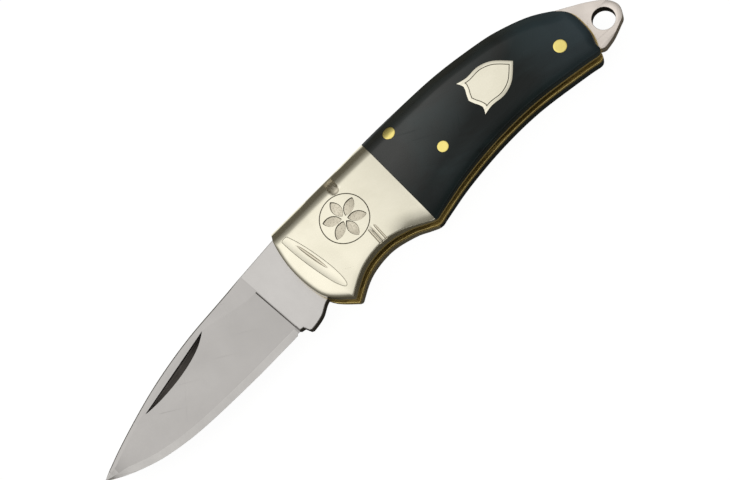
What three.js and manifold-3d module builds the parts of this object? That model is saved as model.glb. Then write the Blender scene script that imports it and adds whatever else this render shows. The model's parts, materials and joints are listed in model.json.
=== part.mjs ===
// Folding pocket knife with one blade, held open and closed by a backspring.
// Millimetres, +Z up. The knife lies open on its far side: X runs from the blade's tip to the
// tail, Y from the cutting edge to the spine. The origin is where the pivot's axis meets the
// flat outer face of the far bolster.

import * as THREE from 'three';
import { mergeVertices } from 'three/addons/utils/BufferGeometryUtils.js';
import Module from 'manifold-3d';

const wasm = await Module();
wasm.setup();

// Thicknesses, from the blade outwards
const bladeThickness = 2.0;
const bladeSideGap = 0.1;
const linerThickness = 0.8;
const coverThickness = 2.6; // scales and bolsters alike

// Clearances
const pinGap = 0.03; // round pins that stay still
const runningGap = 0.04; // round the pivot pin in the blade's tang
const jointGap = 0.04; // between a bolster and its scale
const pocketGap = 0.04; // round the shield in its pocket
const springGap = 0.08; // between the tang's round back and the spring
const flatGap = 0.25; // between the tang's two flats and the spring
const kickGap = 0.06; // between the kick and the spring when closed
const tipGap = 1.2; // between the closed tip and the spring's tail block
const bladeFlushStep = 0.35; // the blade's spine lies this far under the handle's

// Blade outline: the tip, the heel of the cutting edge, and the deepest point between them
const tipReach = 54.0; // pivot to tip, along X
const tipDepth = 3.0; // the tip lies this far below the pivot
const heelReach = 11.1;
const heelDepth = 7.05;
const edgeDepth = 8.0;
const spineStraightReach = 17.1; // where the blade's spine starts to bend down
const spineStraightHeight = 7.56;
const choilDepth = 0.35;
const choilWidth = 1.85;
const kickFrontLength = 0.45;
const kickFrontHeight = 0.2;
const ricassoEndReach = 2.6; // where the ricasso's lower edge meets the tang's round back
const ricassoEndDepth = 6.0;

// Blade grind
const plungeReach = 10.7; // where the grind ends, measured at the pivot's height
const plungeLean = 0.135; // how far the plunge line leans forward for each mm of height
const plungeRamp = 1.0; // length over which the grind reaches its depth
const grindLineDrop = 1.0; // from the blade's spine down to the start of the grind
const bevelWidth = 1.4; // the narrow sharpened band
const bevelThickness = 0.5; // blade thickness where that band starts
const edgeThickness = 0.06;
const spineTipThickness = 0.9;

// Nail nick, a thumbnail's groove on the near face
const nickFrontReach = 40.8;
const nickFrontHeight = 1.1;
const nickRearReach = 23.9;
const nickRearHeight = 5.45;
const nickWidth = 1.95;
const nickDepth = 0.55;

// How the blade closes
const closedTurn = 172; // degrees
const kickSeatReach = 9.33; // where the closed kick meets the spring
const ricassoSeatReach = 6.6; // the ricasso's lower edge runs this far along the spring

// Backspring
const springSeatHeight = 6.4; // the spring's inner edge above the pivot
const springSeatSlope = 0.07;
const springSeatLength = 12.0; // straight stretch of that edge
const springFrontReach = 1.5; // the spring's front end lies this far in front of the pivot
const springBossHeight = 4.4; // at the spring pin
const springRearHeight = 3.5; // halfway to the tail
const tailBlockLength = 8.8; // from the block's front face to the end of the handle
const blockFillet = 1.5;
const blockInset = 1.3; // the block lies this far inside the handle's belly, so the slot runs on

// Lanyard tab, the spring's tail end
const lanyardHoleRadius = 2.15;
const lanyardReach = 3.15; // from the end of the handle to the hole's centre
const lanyardDepth = 1.68; // below the pivot
const tabWall = 1.5; // round the hole
const tabTopHeight = 6.0; // the tab's upper edge above the hole's centre, at its root
const tabBottomDepth = 4.3;

// Handle outline
const frontTopReach = 2.7; // upper front corner of the bolster
const frontTopHeight = 9.86;
const noseReach = 4.05; // the front edge's furthest point
const noseHeight = 1.4;
const chinBack = 1.1; // lower front corner, behind the pivot
const chinDepth = 9.83;
const grooveDepth = 6.0; // bottom of the finger groove, below the pivot
const cornerDepth = 8.97; // corner between the finger groove and the belly
const cornerBack = 0.5; // that corner lies just behind the bolster
const humpHeight = 11.42; // the spine's highest point
const waistDepth = 5.15; // the belly's highest point
const tailCornerDepth = 6.75;
const tailCornerBack = 1.1; // from the end of the handle
const tailCornerRound = 1.6;
const shoulderHeight = 5.25; // where the spine turns into the tail's round end

// Bolster
const bolsterReach = 20.6; // from the pivot to the joint with the scale, at the pivot's height
const bolsterLean = 2.0; // degrees

// Rounding of the covers' outer edges: width inwards and drop from the flat face
const spineRoundWidth = 2.6;
const spineRoundDrop = 2.3;
const bellyRoundWidth = 1.1;
const bellyRoundDrop = 1.5;
const frontRoundWidth = 2.0;
const frontRoundDrop = 0.9;
const tailRoundWidth = 1.7;
const tailRoundDrop = 1.5;
const nearTailInset = 0.4; // the near scale's tail end stays this far inside its liner

// Pins and rivets
const pivotPinRadius = 1.2;
const hiddenPinCover = 0.9; // pins that don't show end this far under the bolsters' faces
const springPinRadius = 1.2;
const springPinBack = 4.55; // behind the joint between bolster and scale
const springPinDrop = 2.75; // below the handle's spine
const tailPinRadius = 1.25;
const tailPinBack = 2.46; // behind the tail block's front face
const tailPinDepth = 1.23;
const scaleRivetRadius = 1.05;
const scaleRivetReach = 30.55;
const scaleRivetDepth = 0.38;
const bolsterRivetRadius = 0.8;
const bolsterRivetReach = 15.5;
const bolsterRivetSpread = 8.5; // between the two rivets of one bolster
const bolsterRivetMiddle = 1.6; // their middle, above the pivot

// Lens-shaped flute in the near bolster
const fluteLength = 13.4;
const fluteWidth = 1.7;
const fluteDepth = 0.4;
const fluteTurn = 11; // degrees from upright
const fluteMiddleHeight = 0.27;
const fluteMiddleReach = 0.45; // in front of the pivot

// Shield in the near scale
const shieldReach = 44.7;
const shieldHeight = 2.62;
const shieldLength = 10.6;
const shieldWidth = 8.0;
const shieldThickness = 0.8;
const shieldRivetRadius = 0.45;
const shieldRivetSpread = 5.0;

// Fineness of round things
const pinSides = 24;
const roundingSteps = 4;

// Heights of the layers, worked out from the thicknesses
const slotWidth = bladeThickness + 2 * bladeSideGap;
const farLinerBottom = coverThickness;
const slotBottom = farLinerBottom + linerThickness;
const slotTop = slotBottom + slotWidth;
const nearLinerTop = slotTop + linerThickness;
const nearFace = nearLinerTop + coverThickness;
const middle = nearFace / 2;
const bladeBottom = middle - bladeThickness / 2;
const bladeTop = middle + bladeThickness / 2;
const beyond = 1.0; // cutters stand this far out of what they cut

// Lengths that follow from the blade
const tipRadius = Math.hypot(tipReach, tipDepth);
const tailBlockFront = tipRadius + tipGap;
const tailEnd = tailBlockFront + tailBlockLength;

const finish = {
  bladeSteel: { color: 0xc9c7c6, roughness: 0.32, metalness: 1.0 },
  springSteel: { color: 0xbdb5b0, roughness: 0.38, metalness: 1.0 },
  nickelSilver: { color: 0xd9d2bd, roughness: 0.24, metalness: 1.0 },
  brass: { color: 0xc9a03c, roughness: 0.28, metalness: 1.0 },
  horn: { color: 0x11171a, roughness: 0.18, metalness: 0.0 },
};

const knife = new THREE.Group();

const point = (x, y) => new THREE.Vector2(x, y);

function splinePoints(controls, steps) {
  return new THREE.SplineCurve(controls).getPoints(steps);
}

// Height of a line that runs along X, at one place
function heightAt(line, x) {
  const points = line[0].x < line.at(-1).x ? line : [...line].reverse();
  const found = points.findIndex((p, i) => i > 0 && p.x >= x);
  const after = found < 0 ? points.length - 1 : found;
  const [a, b] = [points[after - 1], points[after]];
  return a.y + (b.y - a.y) * (x - a.x) / (b.x - a.x);
}

function turned(p, degrees) {
  return p.clone().rotateAround(point(0, 0), THREE.MathUtils.degToRad(degrees));
}

// Joins stretches of an outline and drops a point where two stretches share it
function joined(...stretches) {
  const all = stretches.flat();
  return all.filter((p, i) => p.distanceTo(all[(i + 1) % all.length]) > 1e-3);
}

// Moves an outline in by a distance at each point, or out by a negative one. At a corner the
// step is longer, so that both edges move by the same distance.
function movedIn(outline, distances) {
  const count = outline.length;
  return outline.map((here, i) => {
    const before = here.clone().sub(outline[(i + count - 1) % count]).normalize();
    const after = outline[(i + 1) % count].clone().sub(here).normalize();
    const direction = point(-before.y - after.y, before.x + after.x).normalize();
    const stretch = Math.max(0.5, direction.dot(point(-after.y, after.x)));
    return here.clone().addScaledVector(direction, distances[i] / stretch);
  });
}

// Solids

function solid(geometry) {
  const bare = geometry.clone();
  bare.deleteAttribute('normal');
  bare.deleteAttribute('uv');
  const merged = mergeVertices(bare, 1e-5);
  return new wasm.Manifold(new wasm.Mesh({
    numProp: 3,
    vertProperties: new Float32Array(merged.attributes.position.array),
    triVerts: new Uint32Array(merged.index.array),
  }));
}

function addPiece(name, shape, look) {
  const { vertProperties, triVerts } = shape.getMesh();
  const geometry = new THREE.BufferGeometry();
  geometry.setAttribute('position', new THREE.BufferAttribute(vertProperties, 3));
  geometry.setIndex(new THREE.BufferAttribute(triVerts, 1));
  geometry.computeVertexNormals();
  const mesh = new THREE.Mesh(geometry, new THREE.MeshStandardMaterial(look));
  mesh.name = name;
  knife.add(mesh);
}

function prism(outline, bottom, top) {
  const geometry = new THREE.ExtrudeGeometry(new THREE.Shape(outline), {
    depth: top - bottom,
    bevelEnabled: false,
  });
  geometry.translate(0, 0, bottom);
  return solid(geometry);
}

function rod(place, radius, bottom, top) {
  const geometry = new THREE.CylinderGeometry(radius, radius, top - bottom, pinSides);
  geometry.rotateX(Math.PI / 2);
  geometry.translate(place.x, place.y, (bottom + top) / 2);
  return solid(geometry);
}

// Closed solid through rings of equally many points. The ends are filled in the plane that
// flatView gives.
function loft(rings, flatView) {
  const count = rings[0].length;
  const index = [];
  for (let r = 0; r + 1 < rings.length; r += 1) {
    for (let i = 0; i < count; i += 1) {
      const a = r * count + i;
      const b = r * count + (i + 1) % count;
      index.push(a, b, b + count, a, b + count, a + count);
    }
  }
  for (const [a, b, c] of THREE.ShapeUtils.triangulateShape(rings[0].map(flatView), [])) {
    index.push(c, b, a);
  }
  const last = (rings.length - 1) * count;
  for (const [a, b, c] of THREE.ShapeUtils.triangulateShape(rings.at(-1).map(flatView), [])) {
    index.push(last + a, last + b, last + c);
  }
  const geometry = new THREE.BufferGeometry().setFromPoints(rings.flat());
  geometry.setIndex(index);
  return solid(geometry);
}

// Handle outline

// The spine from the bolster's upper front corner to the shoulder at the tail
const fall = humpHeight - shoulderHeight;
const rise = humpHeight - frontTopHeight;
const spineLine = splinePoints([
  point(-frontTopReach, frontTopHeight),
  point(0.2 * tailEnd, frontTopHeight + 0.48 * rise),
  point(0.39 * tailEnd, frontTopHeight + 0.92 * rise),
  point(0.59 * tailEnd, humpHeight),
  point(0.747 * tailEnd, humpHeight - 0.153 * fall),
  point(0.825 * tailEnd, humpHeight - 0.322 * fall),
  point(0.903 * tailEnd, humpHeight - 0.61 * fall),
  point(0.966 * tailEnd, shoulderHeight),
], 28);
const spineHeight = (x) => heightAt(spineLine, x);

// The underside from the chin through the finger groove and along the belly
function undersideLine() {
  const chin = point(chinBack, -chinDepth);
  const cornerReach = bolsterReach + cornerBack;
  const grooveX = (share) => chinBack + share * (cornerReach - chinBack);
  const grooveY = (share) => -cornerDepth + share * (cornerDepth - grooveDepth);
  const bellyX = (share) => cornerReach + share * (tailEnd - cornerReach);
  const bellyY = (share) => -cornerDepth + share * (cornerDepth - waistDepth);
  return splinePoints([
    chin,
    point(grooveX(0.24), grooveY(0.67)),
    point(grooveX(0.51), grooveY(1)),
    point(grooveX(0.76), grooveY(0.68)),
    point(grooveX(0.9), grooveY(0.26)),
    point(cornerReach, -cornerDepth),
    point(bellyX(0.05), bellyY(0.13)),
    point(bellyX(0.2), bellyY(0.555)),
    point(bellyX(0.4), bellyY(0.9)),
    point(bellyX(0.62), -waistDepth),
    point(bellyX(0.86), -waistDepth - 0.58 * (tailCornerDepth - waistDepth)),
    point(tailEnd - tailCornerBack - tailCornerRound, -tailCornerDepth + 0.2),
  ], 44);
}

// The outline runs round with the material on its left. Each stretch brings its rounding, and
// how far the near cover and the spring's tail block stay inside it.
function handleStretches() {
  const underside = undersideLine();
  const tail = splinePoints([
    point(tailEnd - tailCornerBack, -tailCornerDepth + tailCornerRound),
    point(tailEnd - 0.15, -0.35 * tailCornerDepth),
    point(tailEnd - 0.2, 0.45 * shoulderHeight),
    spineLine.at(-1),
  ], 12);
  const tailCorner = new THREE.QuadraticBezierCurve(
    underside.at(-1),
    point(tailEnd - tailCornerBack, -tailCornerDepth),
    tail[0],
  ).getPoints(5);
  const front = splinePoints([
    point(-frontTopReach, frontTopHeight),
    point(0.35 - noseReach, 0.5 * (frontTopHeight + noseHeight)),
    point(-noseReach, noseHeight),
    point(0.55 - noseReach, -0.35 * chinDepth),
    point(-0.55 * noseReach, -0.68 * chinDepth),
    point(chinBack, -chinDepth),
  ], 15);
  return [
    { line: underside, width: bellyRoundWidth, drop: bellyRoundDrop, block: blockInset },
    { line: tailCorner, width: bellyRoundWidth, drop: bellyRoundDrop, block: blockInset },
    { line: tail, width: tailRoundWidth, drop: tailRoundDrop, near: nearTailInset },
    { line: [...spineLine].reverse(), width: spineRoundWidth, drop: spineRoundDrop },
    { line: front, width: frontRoundWidth, drop: frontRoundDrop },
  ];
}

// A list of values round an outline, evened out where it jumps
function evened(values, passes) {
  const count = values.length;
  let result = values;
  for (let pass = 0; pass < passes; pass += 1) {
    const old = result;
    result = old.map((v, i) => (old[(i + count - 1) % count] + 2 * v + old[(i + 1) % count]) / 4);
  }
  return result;
}

const stretches = handleStretches();
const handleOutline = stretches.flatMap(({ line }) => line.slice(0, -1));
const spread = (key) => stretches.flatMap((s) => s.line.slice(0, -1).map(() => s[key] ?? 0));
const roundWidths = evened(spread('width'), 3);
const roundDrops = evened(spread('drop'), 3);
const nearInsets = evened(spread('near'), 3);
const blockInsets = evened(spread('block'), 3);

// One side of the handle before it is cut into bolster and scale: flat inside, rounded outside
function coverBlank(side) {
  const inner = middle + side * (nearLinerTop - middle);
  const outer = middle + side * (nearFace - middle);
  const insets = side > 0 ? nearInsets : roundWidths.map(() => 0);
  const border = movedIn(handleOutline, insets);
  const rings = [border.map((p) => new THREE.Vector3(p.x, p.y, inner))];
  for (let step = 0; step <= roundingSteps; step += 1) {
    const angle = step / roundingSteps * Math.PI / 2;
    const reach = insets.map((inset, i) => inset + (roundWidths[i] - inset) * (1 - Math.cos(angle)));
    const places = movedIn(handleOutline, reach);
    const heightOf = (i) => outer - side * roundDrops[i] * (1 - Math.sin(angle));
    rings.push(places.map((p, i) => new THREE.Vector3(p.x, p.y, heightOf(i))));
  }
  if (side < 0) {
    rings.reverse();
  }
  return loft(rings, (p) => point(p.x, p.y));
}

const nearBlank = coverBlank(1);
const farBlank = coverBlank(-1);
const linerBlank = (bottom) => prism(handleOutline, bottom, bottom + linerThickness);
const handleBody = nearBlank.add(farBlank).add(prism(handleOutline, farLinerBottom, nearLinerTop));

// Everything in front of the joint between bolster and scale, or behind it
function jointCutter(direction) {
  const lean = Math.tan(THREE.MathUtils.degToRad(bolsterLean));
  const reach = tailEnd + tipReach;
  const lineX = (y) => bolsterReach - lean * y + direction * jointGap / 2;
  const corners = [
    point(lineX(-reach), -reach),
    point(lineX(-reach) + direction * 2 * reach, -reach),
    point(lineX(reach) + direction * 2 * reach, reach),
    point(lineX(reach), reach),
  ];
  return prism(corners, -beyond, nearFace + beyond);
}

// Pins and rivets: where they stand

const pivot = point(0, 0);
const springPinReach = bolsterReach + springPinBack;
const springPinPlace = point(springPinReach, spineHeight(springPinReach) - springPinDrop);
const tailPinPlace = point(tailBlockFront + tailPinBack, -tailPinDepth);
const scaleRivetPlace = point(scaleRivetReach, -scaleRivetDepth);
const bolsterRivetPlaces = [
  point(bolsterRivetReach, bolsterRivetMiddle + bolsterRivetSpread / 2),
  point(bolsterRivetReach, bolsterRivetMiddle - bolsterRivetSpread / 2),
];
const shieldRivetPlaces = [
  point(shieldReach - shieldRivetSpread / 2, shieldHeight),
  point(shieldReach + shieldRivetSpread / 2, shieldHeight),
];
const throughHole = (place, radius) => rod(place, radius + pinGap, -beyond, nearFace + beyond);

// A pin through the whole handle, or a part of it, with its ends flush with the covers
function flushPin(place, radius, bottom, top) {
  return rod(place, radius, bottom, top).intersect(handleBody);
}

function addPins() {
  const full = [-beyond, nearFace + beyond];
  addPiece('spring_pin', flushPin(springPinPlace, springPinRadius, ...full), finish.brass);
  addPiece('tail_pin', flushPin(tailPinPlace, tailPinRadius, ...full), finish.brass);
  const nearHalf = [slotTop, nearFace + beyond];
  const farHalf = [-beyond, slotBottom];
  addPiece('near_scale_rivet', flushPin(scaleRivetPlace, scaleRivetRadius, ...nearHalf), finish.brass);
  addPiece('far_scale_rivet', flushPin(scaleRivetPlace, scaleRivetRadius, ...farHalf), finish.brass);
  const pivotPin = rod(pivot, pivotPinRadius, hiddenPinCover, nearFace - hiddenPinCover);
  addPiece('pivot_pin', pivotPin, finish.springSteel);
  for (const [i, level] of ['upper', 'lower'].entries()) {
    const place = bolsterRivetPlaces[i];
    const near = rod(place, bolsterRivetRadius, slotTop, nearFace - hiddenPinCover);
    const far = rod(place, bolsterRivetRadius, hiddenPinCover, slotBottom);
    addPiece(`near_bolster_rivet_${level}`, near, finish.nickelSilver);
    addPiece(`far_bolster_rivet_${level}`, far, finish.nickelSilver);
  }
}

// Shield: a plain escutcheon with its point to the tail
function shieldOutline() {
  const half = [
    [-0.5, 0],
    [-0.455, 0.15],
    [-0.4, 0.33],
    [-0.46, 0.5],
    [-0.26, 0.445],
    [0, 0.46],
    [0.25, 0.33],
    [0.5, 0],
  ].map(([along, across]) => point(along * shieldLength, across * shieldWidth));
  const lower = joined(
    splinePoints(half.slice(0, 4).map((p) => point(p.x, -p.y)), 6),
    splinePoints(half.slice(3).map((p) => point(p.x, -p.y)), 12),
  );
  const upper = lower.slice(1).reverse().map((p) => point(p.x, -p.y));
  return joined(lower, upper).map((p) => p.clone().add(point(shieldReach, shieldHeight)));
}

// Covers: bolsters and scales of both sides

function hiddenHoles(side) {
  const ends = side > 0 ? [slotTop, nearFace - hiddenPinCover] : [hiddenPinCover, slotBottom];
  let holes = rod(pivot, pivotPinRadius + pinGap, ...ends);
  for (const place of bolsterRivetPlaces) {
    holes = holes.add(rod(place, bolsterRivetRadius + pinGap, ...ends));
  }
  return holes;
}

function lensFlute() {
  const geometry = new THREE.SphereGeometry(1, 20, 12);
  geometry.scale(fluteWidth / 2, fluteLength / 2, fluteDepth);
  geometry.rotateZ(THREE.MathUtils.degToRad(fluteTurn));
  geometry.translate(-fluteMiddleReach, fluteMiddleHeight, nearFace);
  return solid(geometry);
}

function addCovers() {
  const nearBolster = nearBlank.intersect(jointCutter(-1)).subtract(hiddenHoles(1));
  addPiece('near_bolster', nearBolster.subtract(lensFlute()), finish.nickelSilver);
  const farBolster = farBlank.intersect(jointCutter(-1)).subtract(hiddenHoles(-1));
  addPiece('far_bolster', farBolster, finish.nickelSilver);

  const scaleHoles = throughHole(springPinPlace, springPinRadius)
    .add(throughHole(tailPinPlace, tailPinRadius))
    .add(throughHole(scaleRivetPlace, scaleRivetRadius));
  const farScale = farBlank.intersect(jointCutter(1)).subtract(scaleHoles);
  addPiece('far_scale', farScale, finish.horn);

  const outline = shieldOutline();
  const pocketOutline = movedIn(outline, outline.map(() => -pocketGap));
  const shieldBottom = nearFace - shieldThickness;
  let nearScale = nearBlank.intersect(jointCutter(1)).subtract(scaleHoles);
  nearScale = nearScale.subtract(prism(pocketOutline, shieldBottom, nearFace + beyond));
  let shield = prism(outline, shieldBottom, nearFace);
  for (const [i, end] of ['front', 'rear'].entries()) {
    const place = shieldRivetPlaces[i];
    const hole = throughHole(place, shieldRivetRadius);
    nearScale = nearScale.subtract(hole);
    shield = shield.subtract(hole);
    const rivet = rod(place, shieldRivetRadius, nearLinerTop, nearFace);
    addPiece(`shield_rivet_${end}`, rivet, finish.nickelSilver);
  }
  addPiece('near_scale', nearScale, finish.horn);
  addPiece('shield', shield, finish.nickelSilver);
}

function addLiners() {
  let holes = throughHole(pivot, pivotPinRadius)
    .add(throughHole(springPinPlace, springPinRadius))
    .add(throughHole(tailPinPlace, tailPinRadius))
    .add(throughHole(scaleRivetPlace, scaleRivetRadius));
  for (const place of bolsterRivetPlaces) {
    holes = holes.add(throughHole(place, bolsterRivetRadius));
  }
  addPiece('far_liner', linerBlank(farLinerBottom).subtract(holes), finish.brass);
  addPiece('near_liner', linerBlank(slotTop).subtract(holes), finish.brass);
}

// Backspring: a bar along the spine, a block at the tail, and the lanyard tab

const springSeat = (x) => springSeatHeight + springSeatSlope * x;

// Everything that the spring leaves free: the blade's well, and what lies ahead of the bar
function bladeWell() {
  const far = tailEnd + tipReach;
  const halfway = (springPinReach + tailBlockFront) / 2;
  const barEnd = tailBlockFront - blockFillet;
  const barEndHeight = spineHeight(barEnd) - springRearHeight;
  const underside = splinePoints([
    point(springSeatLength, springSeat(springSeatLength)),
    point(springPinReach, spineHeight(springPinReach) - springBossHeight),
    point(halfway, spineHeight(halfway) - springRearHeight),
    point(barEnd, barEndHeight),
  ], 18).reverse();
  const fillet = [];
  for (let step = 0; step < 5; step += 1) {
    const angle = step / 5 * Math.PI / 2;
    const drop = blockFillet * (1 - Math.sin(angle));
    fillet.push(point(barEnd + blockFillet * Math.cos(angle), barEndHeight - drop));
  }
  const outline = joined(
    [point(-far, -far), point(tailBlockFront, -far)],
    fillet,
    underside,
    [point(-springFrontReach, springSeat(-springFrontReach))],
    [point(-springFrontReach, far), point(-far, far)],
  );
  return prism(outline, -beyond, nearFace + beyond);
}

function lanyardTab(hole) {
  const nose = lanyardHoleRadius + tabWall;
  const edge = splinePoints([
    point(-5.3, 1.225 * tabTopHeight),
    point(-2.8, tabTopHeight),
    point(0.05 * nose, 1.17 * nose),
    point(0.73 * nose, 0.63 * nose),
    point(nose, 0.03 * nose),
    point(0.79 * nose, -0.51 * nose),
    point(0.43 * nose, -0.72 * nose),
    point(-1.0, -0.87 * tabBottomDepth),
    point(-3.2, -0.99 * tabBottomDepth),
  ], 30);
  const root = [
    point(-4.1, -0.93 * tabBottomDepth),
    point(-5.3, -0.7 * tabBottomDepth),
    point(-8.2, -0.6 * tabBottomDepth),
    point(-8.2, 1.29 * tabTopHeight),
  ];
  const outline = joined(edge, root).map((p) => p.clone().add(hole)).reverse();
  return prism(outline, slotBottom, slotTop);
}

function addBackspring() {
  const hole = point(tailEnd + lanyardReach, -lanyardDepth);
  const spring = prism(movedIn(handleOutline, blockInsets), slotBottom, slotTop)
    .subtract(bladeWell())
    .add(lanyardTab(hole))
    .subtract(throughHole(springPinPlace, springPinRadius))
    .subtract(throughHole(tailPinPlace, tailPinRadius))
    .subtract(rod(hole, lanyardHoleRadius, -beyond, nearFace + beyond));
  addPiece('backspring', spring, finish.springSteel);
}

// Blade

const bladeLength = tipReach - heelReach;
const tip = point(-tipReach, -tipDepth);
const belly = edgeDepth - heelDepth;
const sweep = edgeDepth - tipDepth;
const edgeLine = splinePoints([
  point(-heelReach, -heelDepth),
  point(-heelReach - 0.256 * bladeLength, -heelDepth - 0.74 * belly),
  point(-heelReach - 0.545 * bladeLength, -edgeDepth),
  point(-heelReach - 0.723 * bladeLength, -edgeDepth + 0.139 * sweep),
  point(-heelReach - 0.839 * bladeLength, -edgeDepth + 0.385 * sweep),
  point(-heelReach - 0.932 * bladeLength, -edgeDepth + 0.69 * sweep),
  tip,
], 30);
const stepReach = springFrontReach + springGap;
const bend = spineStraightHeight + tipDepth;
const bendLength = tipReach - spineStraightReach;
const bladeSpineLine = splinePoints([
  tip,
  point(-spineStraightReach - 0.813 * bendLength, spineStraightHeight - 0.704 * bend),
  point(-spineStraightReach - 0.542 * bendLength, spineStraightHeight - 0.363 * bend),
  point(-spineStraightReach - 0.271 * bendLength, spineStraightHeight - 0.132 * bend),
  point(-spineStraightReach, spineStraightHeight),
  point(-stepReach, spineHeight(-stepReach) - bladeFlushStep),
], 24);

// The tang's back is round about the pivot, with a flat under the spring when the blade is
// open and another when it is closed
function tangBack(startAngle) {
  const seatAngle = Math.PI / 2 + Math.atan(springSeatSlope);
  const seatDistance = springSeatHeight * Math.cos(Math.atan(springSeatSlope));
  const radius = seatDistance - springGap;
  const halfFlat = Math.acos((seatDistance - flatGap) / radius);
  const closedSeat = seatAngle + 2 * Math.PI - THREE.MathUtils.degToRad(closedTurn);
  const openSeat = seatAngle + 2 * Math.PI;
  const arc = (from, to, steps) => {
    const place = (i) => from + (to - from) * i / steps;
    const angles = Array.from({ length: steps + 1 }, (_, i) => place(i));
    return angles.map((a) => point(radius * Math.cos(a), radius * Math.sin(a)));
  };
  const flatHeight = (x) => springSeat(x) - flatGap / Math.cos(Math.atan(springSeatSlope));
  return joined(
    arc(startAngle, closedSeat - halfFlat, 3),
    arc(closedSeat + halfFlat, openSeat - halfFlat, 18),
    [point(-stepReach, flatHeight(-stepReach))],
  );
}

// Where a point must lie on the open blade to stand just under the spring when it is closed
function closedUnderSpring(x, gap) {
  return turned(point(x, springSeat(x) - gap), -closedTurn);
}

function bladeProfile() {
  const kick = closedUnderSpring(kickSeatReach, kickGap);
  const ricassoEnd = point(-ricassoEndReach, -ricassoEndDepth);
  const backStart = Math.atan2(-ricassoEndDepth, -ricassoEndReach) + 2 * Math.PI + 0.07;
  const outline = joined(
    [...edgeLine].reverse(),
    [
      point(-heelReach + 0.4, -heelDepth + choilDepth),
      point(-heelReach + choilWidth, -heelDepth + 0.45 * choilDepth),
      point(kick.x - kickFrontLength, kick.y + kickFrontHeight),
      kick,
      closedUnderSpring(ricassoSeatReach, 2 * kickGap),
      ricassoEnd,
    ],
    tangBack(backStart),
    [...bladeSpineLine].reverse(),
  );
  return prism(outline, bladeBottom, bladeTop);
}

// What the grinding takes off one face: nothing at the plunge line, then a flat slope from
// just under the spine to the sharpened band, and a steeper one to the edge
function grindCutter(side) {
  const stations = 22;
  const end = -tipReach - beyond;
  const start = -plungeReach - plungeRamp;
  const rings = [];
  const addRing = (x, depthShare, lean) => {
    const inside = Math.max(x, -tipReach);
    const edgeY = heightAt(edgeLine, inside);
    const height = Math.max(0.2, heightAt(bladeSpineLine, inside) - edgeY);
    const spineY = edgeY + height;
    const along = (inside + plungeReach) / (plungeReach - tipReach);
    const spineHalf = (bladeThickness + (spineTipThickness - bladeThickness) * along) / 2;
    const bevelHalf = Math.min(bevelThickness, spineTipThickness * 0.7) / 2;
    const half = (wanted) => bladeThickness / 2 + (wanted - bladeThickness / 2) * depthShare;
    const lowY = edgeY - beyond;
    const section = [
      [lowY, half(edgeThickness / 2)],
      [edgeY, half(edgeThickness / 2)],
      [edgeY + Math.min(bevelWidth, 0.3 * height), half(bevelHalf)],
      [spineY - Math.min(grindLineDrop, 0.3 * height), half(spineHalf)],
      [spineY + beyond, half(spineHalf)],
      [spineY + beyond, bladeThickness / 2 + beyond],
      [lowY, bladeThickness / 2 + beyond],
    ];
    const ring = section.map(([y, z]) => new THREE.Vector3(x - lean * y, y, middle + side * z));
    rings.push(side > 0 ? ring : ring.reverse());
  };
  for (let i = 0; i <= stations; i += 1) {
    const x = end + (start - end) * i / stations;
    const nearPlunge = Math.max(0, 1 - (start - x) / (3 * plungeRamp));
    addRing(x, 1, plungeLean * nearPlunge);
  }
  addRing(-plungeReach, 0, plungeLean);
  return loft(rings, (p) => point(p.y, p.z));
}

// Nail nick: straight upper edge, curved lower edge, deepest under the straight edge
function nickCutter() {
  const front = point(-nickFrontReach, nickFrontHeight);
  const rear = point(-nickRearReach, nickRearHeight);
  const along = rear.clone().sub(front);
  const down = point(along.y, -along.x).normalize();
  const steps = 14;
  const crescent = (widthShare) => {
    const bottom = [];
    for (let i = 1; i < steps; i += 1) {
      const share = i / steps;
      const width = nickWidth * widthShare * (4 * share * (1 - share)) ** 0.9;
      bottom.push(front.clone().addScaledVector(along, share).addScaledVector(down, width));
    }
    return [front, ...bottom, rear];
  };
  const level = (points, z) => points.map((p) => new THREE.Vector3(p.x, p.y, z));
  const mouth = crescent(1);
  return loft([
    level(crescent(0.3), bladeTop - nickDepth),
    level(mouth, bladeTop),
    level(mouth, bladeTop + beyond),
  ], (p) => point(p.x, p.y));
}

function addBlade() {
  const blade = bladeProfile()
    .subtract(grindCutter(1))
    .subtract(grindCutter(-1))
    .subtract(nickCutter())
    .subtract(rod(pivot, pivotPinRadius + runningGap, -beyond, nearFace + beyond));
  addPiece('blade', blade, finish.bladeSteel);
}

addBlade();
addBackspring();
addLiners();
addCovers();
addPins();

export default knife;
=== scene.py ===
# %% [markdown]
# # A folding pocket knife in the studio
#
# The knife already exists as twenty plain solids in their right places and real sizes. This
# lesson gives it its looks: every solid that shows gets a finely made mesh and a finish.
#
# The knife lies open on its far side. X runs from the blade's tip to the tail, Y from the
# cutting edge to the spine, and Z up towards the near side, which the picture shows. The
# pivot stands on the origin.

# %% Open the fixed frame
import math

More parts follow.
